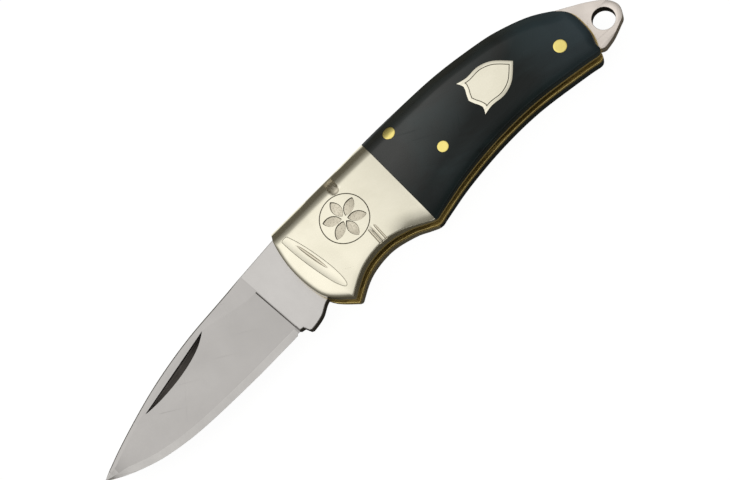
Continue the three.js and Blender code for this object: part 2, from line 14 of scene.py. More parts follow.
import bmesh
import bpy
import numpy as np
from mathutils import Matrix, Vector
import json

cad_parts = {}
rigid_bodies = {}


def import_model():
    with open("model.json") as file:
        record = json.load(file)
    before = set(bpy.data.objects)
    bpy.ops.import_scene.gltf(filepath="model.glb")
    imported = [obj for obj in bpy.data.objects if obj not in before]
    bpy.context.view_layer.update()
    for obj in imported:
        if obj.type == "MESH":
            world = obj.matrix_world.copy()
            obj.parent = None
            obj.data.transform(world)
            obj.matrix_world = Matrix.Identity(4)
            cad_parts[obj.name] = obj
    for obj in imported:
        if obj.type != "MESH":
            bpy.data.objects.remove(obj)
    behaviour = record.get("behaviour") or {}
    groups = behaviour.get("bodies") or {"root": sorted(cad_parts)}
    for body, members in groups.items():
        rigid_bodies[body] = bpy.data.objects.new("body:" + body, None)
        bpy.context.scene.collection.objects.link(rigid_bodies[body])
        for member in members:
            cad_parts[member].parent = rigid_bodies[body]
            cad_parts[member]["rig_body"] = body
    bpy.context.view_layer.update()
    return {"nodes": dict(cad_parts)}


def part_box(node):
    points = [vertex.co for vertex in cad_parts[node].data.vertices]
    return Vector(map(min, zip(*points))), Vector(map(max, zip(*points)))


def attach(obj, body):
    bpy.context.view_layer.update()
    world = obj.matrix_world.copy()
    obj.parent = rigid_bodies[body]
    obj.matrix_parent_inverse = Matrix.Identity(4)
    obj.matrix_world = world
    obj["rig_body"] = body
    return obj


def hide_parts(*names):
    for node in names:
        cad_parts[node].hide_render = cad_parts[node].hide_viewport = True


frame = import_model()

MM = 0.001


def in_mm(values):
    return [round(value / MM, 2) for value in values]


# %% [markdown]
# ## Camera
#
# The photograph looks down on the knife, leaning 19 degrees from straight above towards the
# cutting edge, and the camera is rolled so that the knife lies across the picture from lower
# left to upper right. A long lens keeps the shape free of strong perspective. The three
# directions of the camera are written as a matrix, because a roll is easy to see in it.

# %% Camera at the photograph's angle
CAMERA_LEAN = math.radians(19)
CAMERA_ROLL = math.radians(42.14)
CAMERA_DISTANCE = 350 * MM
CAMERA_AIM = Vector((9.237, -2.122, 4.5)) * MM
SENSOR_WIDTH = 36
LENS = 96.7

towards_camera = Vector((0, -math.sin(CAMERA_LEAN), math.cos(CAMERA_LEAN)))
level_right = Vector((1, 0, 0))
level_up = towards_camera.cross(level_right)
right = math.cos(CAMERA_ROLL) * level_right - math.sin(CAMERA_ROLL) * level_up
up = math.sin(CAMERA_ROLL) * level_right + math.cos(CAMERA_ROLL) * level_up

camera = bpy.data.objects.new("camera", bpy.data.cameras.new("camera"))
camera.data.sensor_width = SENSOR_WIDTH
camera.data.lens = LENS
camera.matrix_world = Matrix.Translation(CAMERA_AIM + towards_camera * CAMERA_DISTANCE) @ Matrix(
    (right, up, towards_camera)).transposed().to_4x4()
bpy.context.scene.collection.objects.link(camera)
bpy.context.scene.camera = camera
print("camera in mm:", in_mm(camera.matrix_world.translation))

# %% [markdown]
# ## Building materials from nodes
#
# A procedural material is a small graph. This helper makes one node, sets its options, and
# fills its inputs: a number or colour is set on the socket, and another node's output is
# linked to it. Everything below is written with it, so the recipes stay short.


# %% A helper that makes one node
def add_node(tree, kind, inputs=None, **options):
    made = tree.nodes.new(kind)
    for name, value in options.items():
        setattr(made, name, value)
    for name, value in (inputs or {}).items():
        if isinstance(value, bpy.types.NodeSocket):
            tree.links.new(value, made.inputs[name])
        else:
            made.inputs[name].default_value = value
    return made


def empty_material(name):
    material = bpy.data.materials.new(name)
    material.use_nodes = True
    material.node_tree.nodes.clear()
    return material, material.node_tree


# %% [markdown]
# ## The studio
#
# Polished metal shows its surroundings, so the light is designed as something to be
# reflected. The knife lies under a large cloth tent: brightest overhead, fading softly down
# the sides to a dim room at the horizon. Every face that looks up is bright, and what bends
# away runs through the fade to dark olive, as the rounded spine does in the photograph. One
# round softbox inside the tent gives the light some direction, and a long low card in front
# of the belly draws a thin light line along every broken edge there.
#
# The floor is plain and pale. To the camera it is nearly white, while the knife's sides
# mirror it darker, as the dim foot of such a tent would be.

# %% Tent
TENT_COLOUR = (1, 0.985, 0.95, 1)
TENT_AXIS = (-0.26, 0.39, 0.883)  # the direction in which it is brightest
TENT_FADE = 4.5  # a bigger number fades sooner towards the horizon
ROOM_COLOUR = (0.135, 0.128, 0.108, 1)
BACKDROP_COLOUR = (1, 1, 1, 1)


def maths(tree, operation, first, second=0.0, clamp=False):
    return add_node(tree, "ShaderNodeMath", {0: first, 1: second},
                    operation=operation, use_clamp=clamp).outputs[0]


world = bpy.data.worlds.new("tent")
world.use_nodes = True
tree = world.node_tree
tree.nodes.clear()
bpy.context.scene.world = world
direction = add_node(tree, "ShaderNodeTexCoord").outputs["Generated"]
upward = add_node(tree, "ShaderNodeVectorMath", {
    0: direction, 1: TENT_AXIS}, operation="DOT_PRODUCT").outputs["Value"]
away = maths(tree, "MULTIPLY", maths(tree, "SUBTRACT", upward, 1.0), TENT_FADE)
tent = add_node(tree, "ShaderNodeBackground", {
    "Color": TENT_COLOUR, "Strength": maths(tree, "EXPONENT", away)})
room = add_node(tree, "ShaderNodeBackground", {"Color": ROOM_COLOUR})
around = add_node(tree, "ShaderNodeAddShader", {0: tent.outputs[0], 1: room.outputs[0]})
backdrop = add_node(tree, "ShaderNodeBackground", {"Color": BACKDROP_COLOUR})
seen = add_node(tree, "ShaderNodeLightPath").outputs["Is Camera Ray"]
either = add_node(tree, "ShaderNodeMixShader", {
    0: seen, 1: around.outputs[0], 2: backdrop.outputs[0]})
add_node(tree, "ShaderNodeOutputWorld", {"Surface": either.outputs[0]})
for angle in (0, 20, 40, 60, 80):
    print("tent at", angle, "degrees:", round(math.exp((math.cos(math.radians(angle)) - 1) * TENT_FADE), 2))

# %% Softbox and low card, in metres
SOFTBOX_PLACE = (-0.2, 0.25, 0.7)
SOFTBOX_RADIUS = 0.6
SOFTBOX_POWER = 0.8
CARD_PLACE = Vector((0, -0.5, 0.2))
CARD_SIZE = (1.0, 0.12)
CARD_POWER = 0.3

softbox = bpy.data.objects.new("softbox", bpy.data.lights.new("softbox", "AREA"))
softbox.data.shape = "DISK"
softbox.data.size = 2 * SOFTBOX_RADIUS
softbox.data.energy = SOFTBOX_POWER
softbox.location = SOFTBOX_PLACE
softbox.visible_camera = False
bpy.context.scene.collection.objects.link(softbox)

card = bpy.data.objects.new("low_card", bpy.data.lights.new("low_card", "AREA"))
card.data.shape = "RECTANGLE"
card.data.size, card.data.size_y = CARD_SIZE
card.data.energy = CARD_POWER
card.location = CARD_PLACE
card.rotation_euler = (-CARD_PLACE).to_track_quat("-Z", "Y").to_euler()
card.visible_camera = False
bpy.context.scene.collection.objects.link(card)
print("softbox", 2 * SOFTBOX_RADIUS, "m wide, card", CARD_SIZE, "m")

# %% Floor
FLOOR_REACH = 4  # metres to each side
FLOOR_GREY = (0.23, 0.215, 0.175, 1)  # what the knife mirrors
SEEN_GREY = (0.12, 0.12, 0.12, 1)  # what the camera sees, on top of the glow
FLOOR_GLOW = 0.96

floor_mesh = bpy.data.meshes.new("floor")
floor_mesh.from_pydata([
    (-FLOOR_REACH, -FLOOR_REACH, 0), (FLOOR_REACH, -FLOOR_REACH, 0),
    (FLOOR_REACH, FLOOR_REACH, 0), (-FLOOR_REACH, FLOOR_REACH, 0)], [], [(0, 1, 2, 3)])
floor = bpy.data.objects.new("floor", floor_mesh)
bpy.context.scene.collection.objects.link(floor)

floor_finish, tree = empty_material("pale_floor")
grey = add_node(tree, "ShaderNodeBsdfDiffuse", {"Color": FLOOR_GREY})
pale = add_node(tree, "ShaderNodeBsdfDiffuse", {"Color": SEEN_GREY})
glow = add_node(tree, "ShaderNodeEmission", {"Color": BACKDROP_COLOUR, "Strength": FLOOR_GLOW})
lit = add_node(tree, "ShaderNodeAddShader", {0: pale.outputs[0], 1: glow.outputs[0]})
seen = add_node(tree, "ShaderNodeLightPath").outputs["Is Camera Ray"]
either = add_node(tree, "ShaderNodeMixShader", {0: seen, 1: grey.outputs[0], 2: lit.outputs[0]})
add_node(tree, "ShaderNodeOutputMaterial", {"Surface": either.outputs[0]})
floor_mesh.materials.append(floor_finish)
bpy.context.scene.view_settings.view_transform = "Standard"
print("floor", 2 * FLOOR_REACH, "m wide")

# %% [markdown]
# ## Effects that several finishes share
#
# Some marks are on every metal part of a used knife: the fine grain that polishing belts
# leave, hairline scratches, and soft smudges from fingers. Each is a node group with named
# inputs, built once and placed in each finish with its own values. All of them measure in
# millimetres on the object, so a grain line is as wide as on the real thing.


# %% A helper that starts a node group
def new_group(name, inputs, outputs):
    group = bpy.data.node_groups.new(name, "ShaderNodeTree")
    for socket, value in inputs.items():
        made = group.interface.new_socket(socket, in_out="INPUT", socket_type="NodeSocketFloat")
        made.default_value = value
    for socket in outputs:
        group.interface.new_socket(socket, in_out="OUTPUT", socket_type="NodeSocketFloat")
    return group, group.nodes.new("NodeGroupInput").outputs, group.nodes.new("NodeGroupOutput")


def place_in_mm(tree, turn=None):
    """Object coordinates in millimetres, turned about Z if asked."""
    place = add_node(tree, "ShaderNodeTexCoord").outputs["Object"]
    scaled = add_node(tree, "ShaderNodeVectorMath", {0: place, "Scale": 1 / MM}, operation="SCALE")
    if turn is None:
        return scaled.outputs[0]
    rotated = add_node(tree, "ShaderNodeVectorRotate", {
        "Vector": scaled.outputs[0], "Angle": turn}, rotation_type="Z_AXIS")
    return rotated.outputs[0]


def spread_out(tree, value, low, high):
    """Stretches the part of a value between low and high to 0 and 1."""
    return add_node(tree, "ShaderNodeMapRange", {
        "Value": value, "From Min": low, "From Max": high}).outputs[0]


# %% Belt grain: noise that is drawn out long in one direction
grain, given, result = new_group(
    "belt_grain", {"Turn": 0.0, "Line Length": 6.0, "Line Width": 0.08}, ["Shade"])
place = add_node(grain, "ShaderNodeSeparateXYZ", {0: place_in_mm(grain, given["Turn"])}).outputs
drawn_out = add_node(grain, "ShaderNodeCombineXYZ", {
    "X": maths(grain, "DIVIDE", place["X"], given["Line Length"]),
    "Y": maths(grain, "DIVIDE", place["Y"], given["Line Width"]),
    "Z": maths(grain, "DIVIDE", place["Z"], given["Line Width"])})
lines = add_node(grain, "ShaderNodeTexNoise", {
    "Vector": drawn_out.outputs[0], "Scale": 1.0, "Detail": 3.0, "Roughness": 0.6})
grain.links.new(spread_out(grain, lines.outputs[0], 0.3, 0.7), result.inputs["Shade"])
print("group", grain.name, "made with", len(grain.nodes), "nodes")

# %% Hairline scratches: two crossing sets, of which only the highest crests are kept
SCRATCH_TURNS = (0.5, 2.2)
SCRATCH_LENGTH, SCRATCH_WIDTH, SCRATCH_DEPTH = 14.0, 0.3, 3.0  # mm that the noise is drawn out
HIGHEST_CREST = 0.78  # about the highest value of the noise
CREST_EDGE = 30.0  # a bigger number makes the scratches' edges sharper

scratches, given, result = new_group(
    "hairline_scratches", {"Spacing": 1.0, "Share": 0.1}, ["Mask"])
sets = []
for turn in SCRATCH_TURNS:
    place = add_node(scratches, "ShaderNodeSeparateXYZ", {0: place_in_mm(scratches, turn)}).outputs
    drawn_out = add_node(scratches, "ShaderNodeCombineXYZ", {
        "X": maths(scratches, "DIVIDE", place["X"], SCRATCH_LENGTH),
        "Y": maths(scratches, "DIVIDE", place["Y"], maths(
            scratches, "MULTIPLY", given["Spacing"], SCRATCH_WIDTH)),
        "Z": maths(scratches, "DIVIDE", place["Z"], SCRATCH_DEPTH)})
    crests = add_node(scratches, "ShaderNodeTexNoise", {
        "Vector": drawn_out.outputs[0], "Scale": 1.0, "Detail": 1.0, "Distortion": 0.4})
    kept_share = maths(scratches, "MULTIPLY", given["Share"], 0.6)
    lowest = maths(scratches, "SUBTRACT", HIGHEST_CREST, kept_share)
    above = maths(scratches, "SUBTRACT", crests.outputs[0], lowest)
    sets.append(maths(scratches, "MULTIPLY", above, CREST_EDGE, clamp=True))
scratches.links.new(maths(scratches, "MAXIMUM", sets[0], sets[1]), result.inputs["Mask"])
print("group", scratches.name, "made with", len(scratches.nodes), "nodes")

# %% Smudges: broad soft clouds where fingers have dulled the polish
smudges, given, result = new_group("finger_smudges", {"Size": 7.0}, ["Mask"])
place = add_node(smudges, "ShaderNodeVectorMath", {
    0: place_in_mm(smudges), "Scale": maths(smudges, "DIVIDE", 1.0, given["Size"])},
    operation="SCALE")
clouds = add_node(smudges, "ShaderNodeTexNoise", {
    "Vector": place.outputs[0], "Scale": 1.0, "Detail": 4.0, "Roughness": 0.55,
    "Distortion": 0.3})
smudges.links.new(spread_out(smudges, clouds.outputs[0], 0.35, 0.7), result.inputs["Mask"])
print("group", smudges.name, "made with", len(smudges.nodes), "nodes")

# %% Punched stipple: round dents close together
stipple, given, result = new_group("punched_stipple", {"Spacing": 0.3}, ["Height", "Mask"])
place = add_node(stipple, "ShaderNodeVectorMath", {
    0: place_in_mm(stipple), "Scale": maths(stipple, "DIVIDE", 1.0, given["Spacing"])},
    operation="SCALE")
dents = add_node(stipple, "ShaderNodeTexVoronoi", {
    "Vector": place.outputs[0], "Scale": 1.0, "Randomness": 0.7})
height = spread_out(stipple, dents.outputs["Distance"], 0.05, 0.5)
stipple.links.new(height, result.inputs["Height"])
stipple.links.new(maths(stipple, "SUBTRACT", 1.0, height), result.inputs["Mask"])
print("group", stipple.name, "made with", len(stipple.nodes), "nodes")

# %% [markdown]
# ## Metal finishes
#
# All the metals are made the same way, so one function makes them: a clean colour and a
# duller one, mixed by the smudges, with a roughness that the smudges and scratches raise, and
# a very low bump from grain and scratches. Only the numbers differ. Nickel silver is warm and
# nearly mirror bright; its grooves, cut lines, rosette and punched dents get darker copies of it,
# which are painted shade. The blade has a satin belt finish, brighter on the sharpened band; its
# tang is painted brighter as well, as painted light. Brass is deep gold on the liners' edges, and
# the much darker copies on their flat sides are painted shade.


# %% One recipe for all metals
SMUDGE_TINT, BELT_TINT, DENT_TINT = 0.6, 0.25, 0.5  # shares of the dull colour
BELT_ROUGH = 0.7  # grain raises the roughness by this share of what smudges do
HAIR_ROUGH = 0.12
HAIR_HEIGHT, DENT_HEIGHT = 2.0, 30.0  # compared with the belt's grain


def place_group(tree, group, **values):
    made = tree.nodes.new("ShaderNodeGroup")
    made.node_tree = group
    for name, value in values.items():
        made.inputs[name.replace("_", " ").title()].default_value = value
    return made.outputs


def blend_colour(tree, share, first, second):
    mixed = add_node(tree, "ShaderNodeMix", {0: share, 6: first, 7: second}, data_type="RGBA")
    return mixed.outputs[2]


def metal(name, clean, dull_and_shade, polish, rougher, grain_turn=0.0, grain_length=6.0,
          grain_width=0.08, grain_depth=0.0006, scratch_share=0.1, stippled=0.0):
    material, tree = empty_material(name)
    fingers = place_group(tree, smudges, size=7.0)["Mask"]
    belt = place_group(tree, grain, turn=grain_turn, line_length=grain_length,
                       line_width=grain_width)["Shade"]
    hairs = place_group(tree, scratches, spacing=1.0, share=scratch_share)["Mask"]
    colour = blend_colour(tree, maths(tree, "MULTIPLY", fingers, SMUDGE_TINT), clean, dull_and_shade)
    colour = blend_colour(tree, maths(tree, "MULTIPLY", belt, BELT_TINT), colour, dull_and_shade)
    rough = maths(tree, "ADD", polish, maths(tree, "MULTIPLY", fingers, rougher))
    rough = maths(tree, "ADD", rough, maths(tree, "MULTIPLY", belt, rougher * BELT_ROUGH))
    rough = maths(tree, "ADD", rough, maths(tree, "MULTIPLY", hairs, HAIR_ROUGH))
    height = maths(tree, "SUBTRACT", belt, maths(tree, "MULTIPLY", hairs, HAIR_HEIGHT))
    if stippled:
        dents = place_group(tree, stipple, spacing=stippled)
        dented = maths(tree, "MULTIPLY", dents["Height"], DENT_HEIGHT)
        height = maths(tree, "ADD", height, dented)
        # The punched dents are blended towards the duller colour: painted shade in the dents.
        colour = blend_colour(tree, maths(tree, "MULTIPLY", dents["Mask"], DENT_TINT), colour, dull_and_shade)
    bump = add_node(tree, "ShaderNodeBump", {
        "Height": height, "Strength": 1.0, "Distance": grain_depth * MM})
    shader = add_node(tree, "ShaderNodeBsdfPrincipled", {
        "Base Color": colour, "Metallic": 1.0, "Roughness": rough, "Normal": bump.outputs[0]})
    add_node(tree, "ShaderNodeOutputMaterial", {"Surface": shader.outputs[0]})
    print("metal", name, "polish", polish)
    return material


# %% Nickel silver
nickel_silver = metal("nickel_silver", (0.79, 0.762, 0.65, 1), (0.72, 0.69, 0.57, 1),
                      polish=0.2, rougher=0.05, grain_turn=math.radians(12), grain_depth=0.0004,
                      scratch_share=0.02)
# The stippled recess floor: bright nickel silver whose punched dents are painted darker, as painted shade.
nickel_recess = metal("nickel_silver_recess", (0.80, 0.75, 0.63, 1), (0.34, 0.31, 0.24, 1),
                      polish=0.34, rougher=0.1, grain_depth=0.0006, stippled=0.30)
# Darker copy for the inner flute, the upper scoop and the fine grooves: painted shade.
nickel_groove = metal("nickel_silver_groove", (0.78, 0.73, 0.61, 1), (0.50, 0.46, 0.36, 1),
                      polish=0.24, rougher=0.08)
# Darker still, for the fine line around the flute: painted shade.
nickel_shadow = metal("nickel_silver_shadowed", (0.38, 0.36, 0.28, 1), (0.30, 0.28, 0.21, 1),
                      polish=0.3, rougher=0.08)
# The darkest copy, for the rosette's petal walls and the engraved lines: painted shade in the cuts.
nickel_painted_shade = metal("nickel_silver_painted_shade", (0.20, 0.18, 0.13, 1), (0.08, 0.07, 0.05, 1),
                    polish=0.4, rougher=0.1)

# %% Steel
ACROSS = math.radians(90)  # the belt ran across the blade, from spine to edge
blade_satin = metal("blade_satin", (0.455, 0.445, 0.445, 1), (0.425, 0.415, 0.415, 1),
                    polish=0.3, rougher=0.03, grain_turn=ACROSS, grain_length=9.0,
                    grain_width=0.06, grain_depth=0.0006, scratch_share=0.03)
# A brighter copy of the blade's satin for the tang's flat sides: painted light.
tang_satin_painted_light = metal("tang_satin_painted_light", (0.54, 0.53, 0.53, 1), (0.50, 0.49, 0.49, 1),
                     polish=0.28, rougher=0.03, grain_turn=ACROSS, grain_length=9.0,
                     grain_width=0.06, grain_depth=0.0006, scratch_share=0.03)
edge_satin = metal("edge_satin", (0.61, 0.60, 0.60, 1), (0.52, 0.51, 0.51, 1),
                   polish=0.3, rougher=0.06, grain_turn=ACROSS, grain_length=5.0,
                   grain_width=0.10, grain_depth=0.0010, scratch_share=0.03)
# Near-black steel for the nail nick and the lanyard hole's wall: painted shade in the hollows.
steel_painted_shade = metal("nick_and_hole_painted_shade", (0.10, 0.09, 0.085, 1), (0.03, 0.028, 0.026, 1),
                   polish=0.42, rougher=0.1)
# A dark copy of steel for the tang's underside: painted shade.
tang_painted_shade = metal("tang_painted_shade", (0.20, 0.19, 0.185, 1), (0.11, 0.105, 0.10, 1),
                  polish=0.4, rougher=0.1)
spring_satin = metal("spring_satin", (0.84, 0.78, 0.74, 1), (0.68, 0.62, 0.59, 1),
                     polish=0.32, rougher=0.07, grain_turn=math.radians(24), grain_depth=0.0008,
                     scratch_share=0.06)

# %% Brass
brass = metal("liner_brass", (1.0, 0.82, 0.34, 1), (0.74, 0.56, 0.20, 1),
              polish=0.34, rougher=0.1, grain_depth=0.0008, scratch_share=0.16)
# Much darker copies of brass for the liners' flat sides, in the blade's slot and beside the covers: painted
# shade.
brass_inside = metal("liner_brass_inside", (0.52, 0.38, 0.12, 1), (0.30, 0.20, 0.05, 1),
                     polish=0.4, rougher=0.1)
brass_rim = metal("liner_brass_rim", (0.30, 0.22, 0.10, 1), (0.15, 0.10, 0.04, 1),
                  polish=0.4, rougher=0.1)
pin_brass = metal("pin_brass", (0.90, 0.78, 0.28, 1), (0.80, 0.66, 0.20, 1),
                  polish=0.22, rougher=0.08, grain_depth=0.0006, scratch_share=0.16)

# %% [markdown]
# ## Dyed horn
#
# The scales are black, but polished horn is never one black. Slow clouds of blue green and of
# brown drift under the gloss, drawn out a little along the handle, with finer fibre in them. The
# same fibre gives the surface a trace of unevenness, so the softbox's reflection is not a perfect
# sheet. Near the bolster the horn is waxed, and a grey-brown painted sheen lies there: brown
# clouds and a stronger gloss and coat that fade out along a slant. Towards the tail its own blue shows.

# %% Horn: clouds, fibre and marks
CLOUDS_PER_MM = (0.06, 0.11, 0.11)
SLANT = 3.3  # the limit of the wax and the painted sheen moves this far along the handle for each mm across it
LIMIT_WAVE = 8.0  # mm that the clouds move it
WAX_AND_SHEEN_FADE = (11.0, 41.0)  # mm along a slant over the scale: the wax and the painted sheen fade out here
PALE_END = (50.0, 64.0)  # mm along the handle: the colour gets paler towards the tail
horn, tree = empty_material("dyed_horn")
place = add_node(tree, "ShaderNodeVectorMath", {
    0: place_in_mm(tree), 1: CLOUDS_PER_MM}, operation="MULTIPLY").outputs[0]
clouds = add_node(tree, "ShaderNodeTexNoise", {
    "Vector": place, "Scale": 1.0, "Detail": 5.0, "Roughness": 0.55, "Distortion": 0.6})
drift = add_node(tree, "ShaderNodeTexNoise", {
    "Vector": place, "Scale": 0.55, "Detail": 3.0, "Roughness": 0.5}, noise_dimensions="3D")
fibre = place_group(tree, grain, turn=math.radians(-4), line_length=9.0, line_width=0.35)["Shade"]
fingers = place_group(tree, smudges, size=9.0)["Mask"]
hairs = place_group(tree, scratches, spacing=1.4, share=0.12)["Mask"]
spot = add_node(tree, "ShaderNodeSeparateXYZ", {0: place_in_mm(tree)}).outputs
along = maths(tree, "SUBTRACT", spot["X"], maths(tree, "MULTIPLY", spot["Y"], SLANT))
along = maths(tree, "ADD", along, maths(tree, "MULTIPLY", clouds.outputs[0], LIMIT_WAVE))
dry_and_past_sheen = spread_out(tree, along, *WAX_AND_SHEEN_FADE)
print("wax fades from", WAX_AND_SHEEN_FADE[0], "to", WAX_AND_SHEEN_FADE[1], "mm along the slant")

# %% Horn: colour
NEAR_BLACK = (0.0090, 0.0125, 0.0125, 1)
BLUE_GREEN = (0.020, 0.034, 0.037, 1)
BROWN = (0.022, 0.019, 0.015, 1)
FIBRE_BLUE = (0.016, 0.024, 0.028, 1)
PALE_BLUE = (0.055, 0.085, 0.105, 1)
MOST_BROWN, MOST_FIBRE, MOST_PALE = 0.7, 0.18, 0.75  # shares of these colours

blue_share = spread_out(tree, clouds.outputs[0], 0.42, 0.68)
colour = blend_colour(tree, blue_share, NEAR_BLACK, BLUE_GREEN)
# Brown clouds only where the horn is waxed: partly its own mottling, partly a painted sheen.
brown_share = spread_out(tree, drift.outputs[0], 0.52, 0.72)
brown_share = maths(tree, "MULTIPLY", brown_share, MOST_BROWN)
brown_share = maths(tree, "MULTIPLY", brown_share, maths(tree, "SUBTRACT", 1.0, dry_and_past_sheen))
colour = blend_colour(tree, brown_share, colour, BROWN)
colour = blend_colour(tree, maths(tree, "MULTIPLY", fibre, MOST_FIBRE), colour, FIBRE_BLUE)
paler = maths(tree, "MULTIPLY", spread_out(tree, spot["X"], *PALE_END), MOST_PALE)
paler = maths(tree, "MULTIPLY", paler, spread_out(tree, drift.outputs[0], 0.35, 0.6))
colour = blend_colour(tree, paler, colour, PALE_BLUE)
print("horn colour made with", len(tree.nodes), "nodes")

# %% Horn: gloss and surface
POLISH, FINGER_ROUGH, MARK_ROUGH = 0.20, 0.10, 0.15
SHEEN_GLOSS, GLOSS_LOST = 0.5, 0.34  # in the waxed, painted sheen, and how much less outside it
SHEEN_COAT, COAT_LOST, COAT_ROUGH = 0.25, 0.25, 0.08
MARK_HEIGHT = 1.2  # compared with the fibre
FIBRE_HEIGHT = 0.0022

rough = maths(tree, "ADD", POLISH, maths(tree, "MULTIPLY", fingers, FINGER_ROUGH))
rough = maths(tree, "ADD", rough, maths(tree, "MULTIPLY", hairs, MARK_ROUGH))
# Stronger gloss and coat under the painted sheen, fading out with the same mask.
gloss = maths(tree, "SUBTRACT", SHEEN_GLOSS, maths(tree, "MULTIPLY", dry_and_past_sheen, GLOSS_LOST))
coat = maths(tree, "SUBTRACT", SHEEN_COAT, maths(tree, "MULTIPLY", dry_and_past_sheen, COAT_LOST))
height = maths(tree, "SUBTRACT", fibre, maths(tree, "MULTIPLY", hairs, MARK_HEIGHT))
bump = add_node(tree, "ShaderNodeBump", {"Height": height, "Distance": FIBRE_HEIGHT * MM})
shader = add_node(tree, "ShaderNodeBsdfPrincipled", {
    "Base Color": colour, "Roughness": rough, "Normal": bump.outputs[0],
    "Specular IOR Level": gloss, "Coat Weight": coat, "Coat Roughness": COAT_ROUGH})
add_node(tree, "ShaderNodeOutputMaterial", {"Surface": shader.outputs[0]})
print("horn made with", len(tree.nodes), "nodes")

# %% [markdown]
# ## Lines that the solids hold
#
# The solids are exact but coarse: their curves are rows of short straight edges. Cutting one
# level with a plane gives its outline back, and a smooth line through the same points is as
# fine as the picture needs. So every new piece takes its shape from the solid it stands for,
# and nothing has to be measured twice.


# %% Outlines of a solid, cut level
STRAIGHT = 0.02  # degrees: a point at which the line turns less is left out


def signed_area(loop):
    ahead = np.roll(loop, -1, axis=0)
    return np.sum(loop[:, 0] * ahead[:, 1] - loop[:, 1] * ahead[:, 0]) / 2


def turns(loop):
    """How far a closed line turns at each point, in degrees."""
    arriving = loop - np.roll(loop, 1, axis=0)
    leaving = np.roll(loop, -1, axis=0) - loop
    across = arriving[:, 0] * leaving[:, 1] - arriving[:, 1] * leaving[:, 0]
    return np.degrees(np.arctan2(across, (arriving * leaving).sum(axis=1)))


def section(node, height):
    """Closed outlines of a solid at a height, in mm, counter-clockwise, the longest first."""
    solid = bmesh.new()
    solid.from_mesh(frame["nodes"][node].data)
    bmesh.ops.remove_doubles(solid, verts=solid.verts, dist=0.0001 * MM)
    bmesh.ops.bisect_plane(
        solid, geom=solid.verts[:] + solid.edges[:] + solid.faces[:],
        plane_co=(0, 0, height * MM), plane_no=(0, 0, 1), clear_inner=True, clear_outer=True)
    loops = []
    left = set(solid.verts)
    while left:
        walked = [min(left, key=lambda v: v.index)]
        while walked:
            left.discard(walked[-1])
            ahead = [e.other_vert(walked[-1]) for e in walked[-1].link_edges]
            ahead = [v for v in ahead if v in left]
            if not ahead:
                break
            walked.append(ahead[0])
        loop = np.array([v.co[:2] for v in walked]) / MM
        loop = loop[np.abs(turns(loop)) > STRAIGHT]
        loops.append(loop if signed_area(loop) > 0 else loop[::-1])
    solid.free()
    return sorted(loops, key=lambda loop: -np.ptp(loop, axis=0).max())


# %% Smooth lines through coarse ones
CORNER = 28  # degrees: a sharper turn is a real corner and stays one
HAIR = 0.0005  # mm: smooth lines stay this far inside the box of the coarse ones


def smooth_line(points, spacing, lead=0):
    """A smooth row of points through a coarse one. The first and last `lead` points only
    steer it."""
    if len(points) < 3:
        count = max(1, round(np.linalg.norm(points[-1] - points[0]) / spacing))
        return np.linspace(points[0], points[-1], count + 1)
    reach = np.r_[0, np.cumsum(np.linalg.norm(np.diff(points, axis=0), axis=1))]
    slopes = np.gradient(points, reach, axis=0, edge_order=2)
    first, last = reach[lead], reach[len(points) - 1 - lead]
    at = np.linspace(first, last, max(2, round((last - first) / spacing)) + 1)
    piece = np.clip(np.searchsorted(reach, at, side="right") - 1, 0, len(points) - 2)
    length = (reach[piece + 1] - reach[piece])[:, None]
    t = (at - reach[piece])[:, None] / length
    return ((1 + 2 * t) * (1 - t) ** 2 * points[piece] + t * (1 - t) ** 2 * length * slopes[piece]
            + t * t * (3 - 2 * t) * points[piece + 1] + t * t * (t - 1) * length * slopes[piece + 1])


def kept_inside(smoothed, loop):
    """The smoothed line, held a hair inside the box of the line it came from."""
    return np.clip(smoothed, loop.min(axis=0) + HAIR, loop.max(axis=0) - HAIR)


def smooth_loop(loop, spacing):
    """A closed line made smooth between its corners."""
    corners = np.flatnonzero(np.abs(turns(loop)) > CORNER)
    if not len(corners):
        smoothed = smooth_line(np.vstack([loop[-3:], loop, loop[:4]]), spacing, lead=3)[:-1]
        return kept_inside(smoothed, loop)
    loop = np.roll(loop, -corners[0], axis=0)
    ends = [*(corners - corners[0]), len(loop)]
    loop = np.vstack([loop, loop[:1]])
    stretches = [smooth_line(loop[a:b + 1], spacing)[:-1] for a, b in zip(ends, ends[1:])]
    return kept_inside(np.vstack(stretches), loop)


def distance_to(points, line):
    """Distance of each point to a row of straight edges."""
    a, b = line[:-1], line[1:]
    along = b - a
    from_a = points[:, None] - a
    share = np.clip((from_a * along).sum(2) / (along * along).sum(1), 0, 1)
    return np.linalg.norm(from_a - share[..., None] * along, axis=2).min(axis=1)


LEAST_COSINE = 0.4  # at sharper corners a moved line is cut short
CROSSED = 0.97  # a moved point closer to the line than this share has crossed its other side


def moved_in(loop, distance):
    """A closed counter-clockwise line moved inwards, without the parts that would cross."""
    arriving = loop - np.roll(loop, 1, axis=0)
    leaving = np.roll(loop, -1, axis=0) - loop
    arriving /= np.linalg.norm(arriving, axis=1)[:, None]
    leaving /= np.linalg.norm(leaving, axis=1)[:, None]
    square = np.column_stack([-leaving[:, 1], leaving[:, 0]])
    inward = square + np.column_stack([-arriving[:, 1], arriving[:, 0]])
    inward /= np.linalg.norm(inward, axis=1)[:, None]
    cosine = np.maximum(LEAST_COSINE, (inward * square).sum(axis=1))[:, None]
    moved = loop + distance * inward / cosine
    kept = distance_to(moved, np.vstack([loop, loop[:1]])) > CROSSED * abs(distance)
    return moved[kept]


def nearest(line, place):
    """Index of the line's point that lies nearest to a place."""
    return int(np.argmin(np.linalg.norm(line - place, axis=1)))


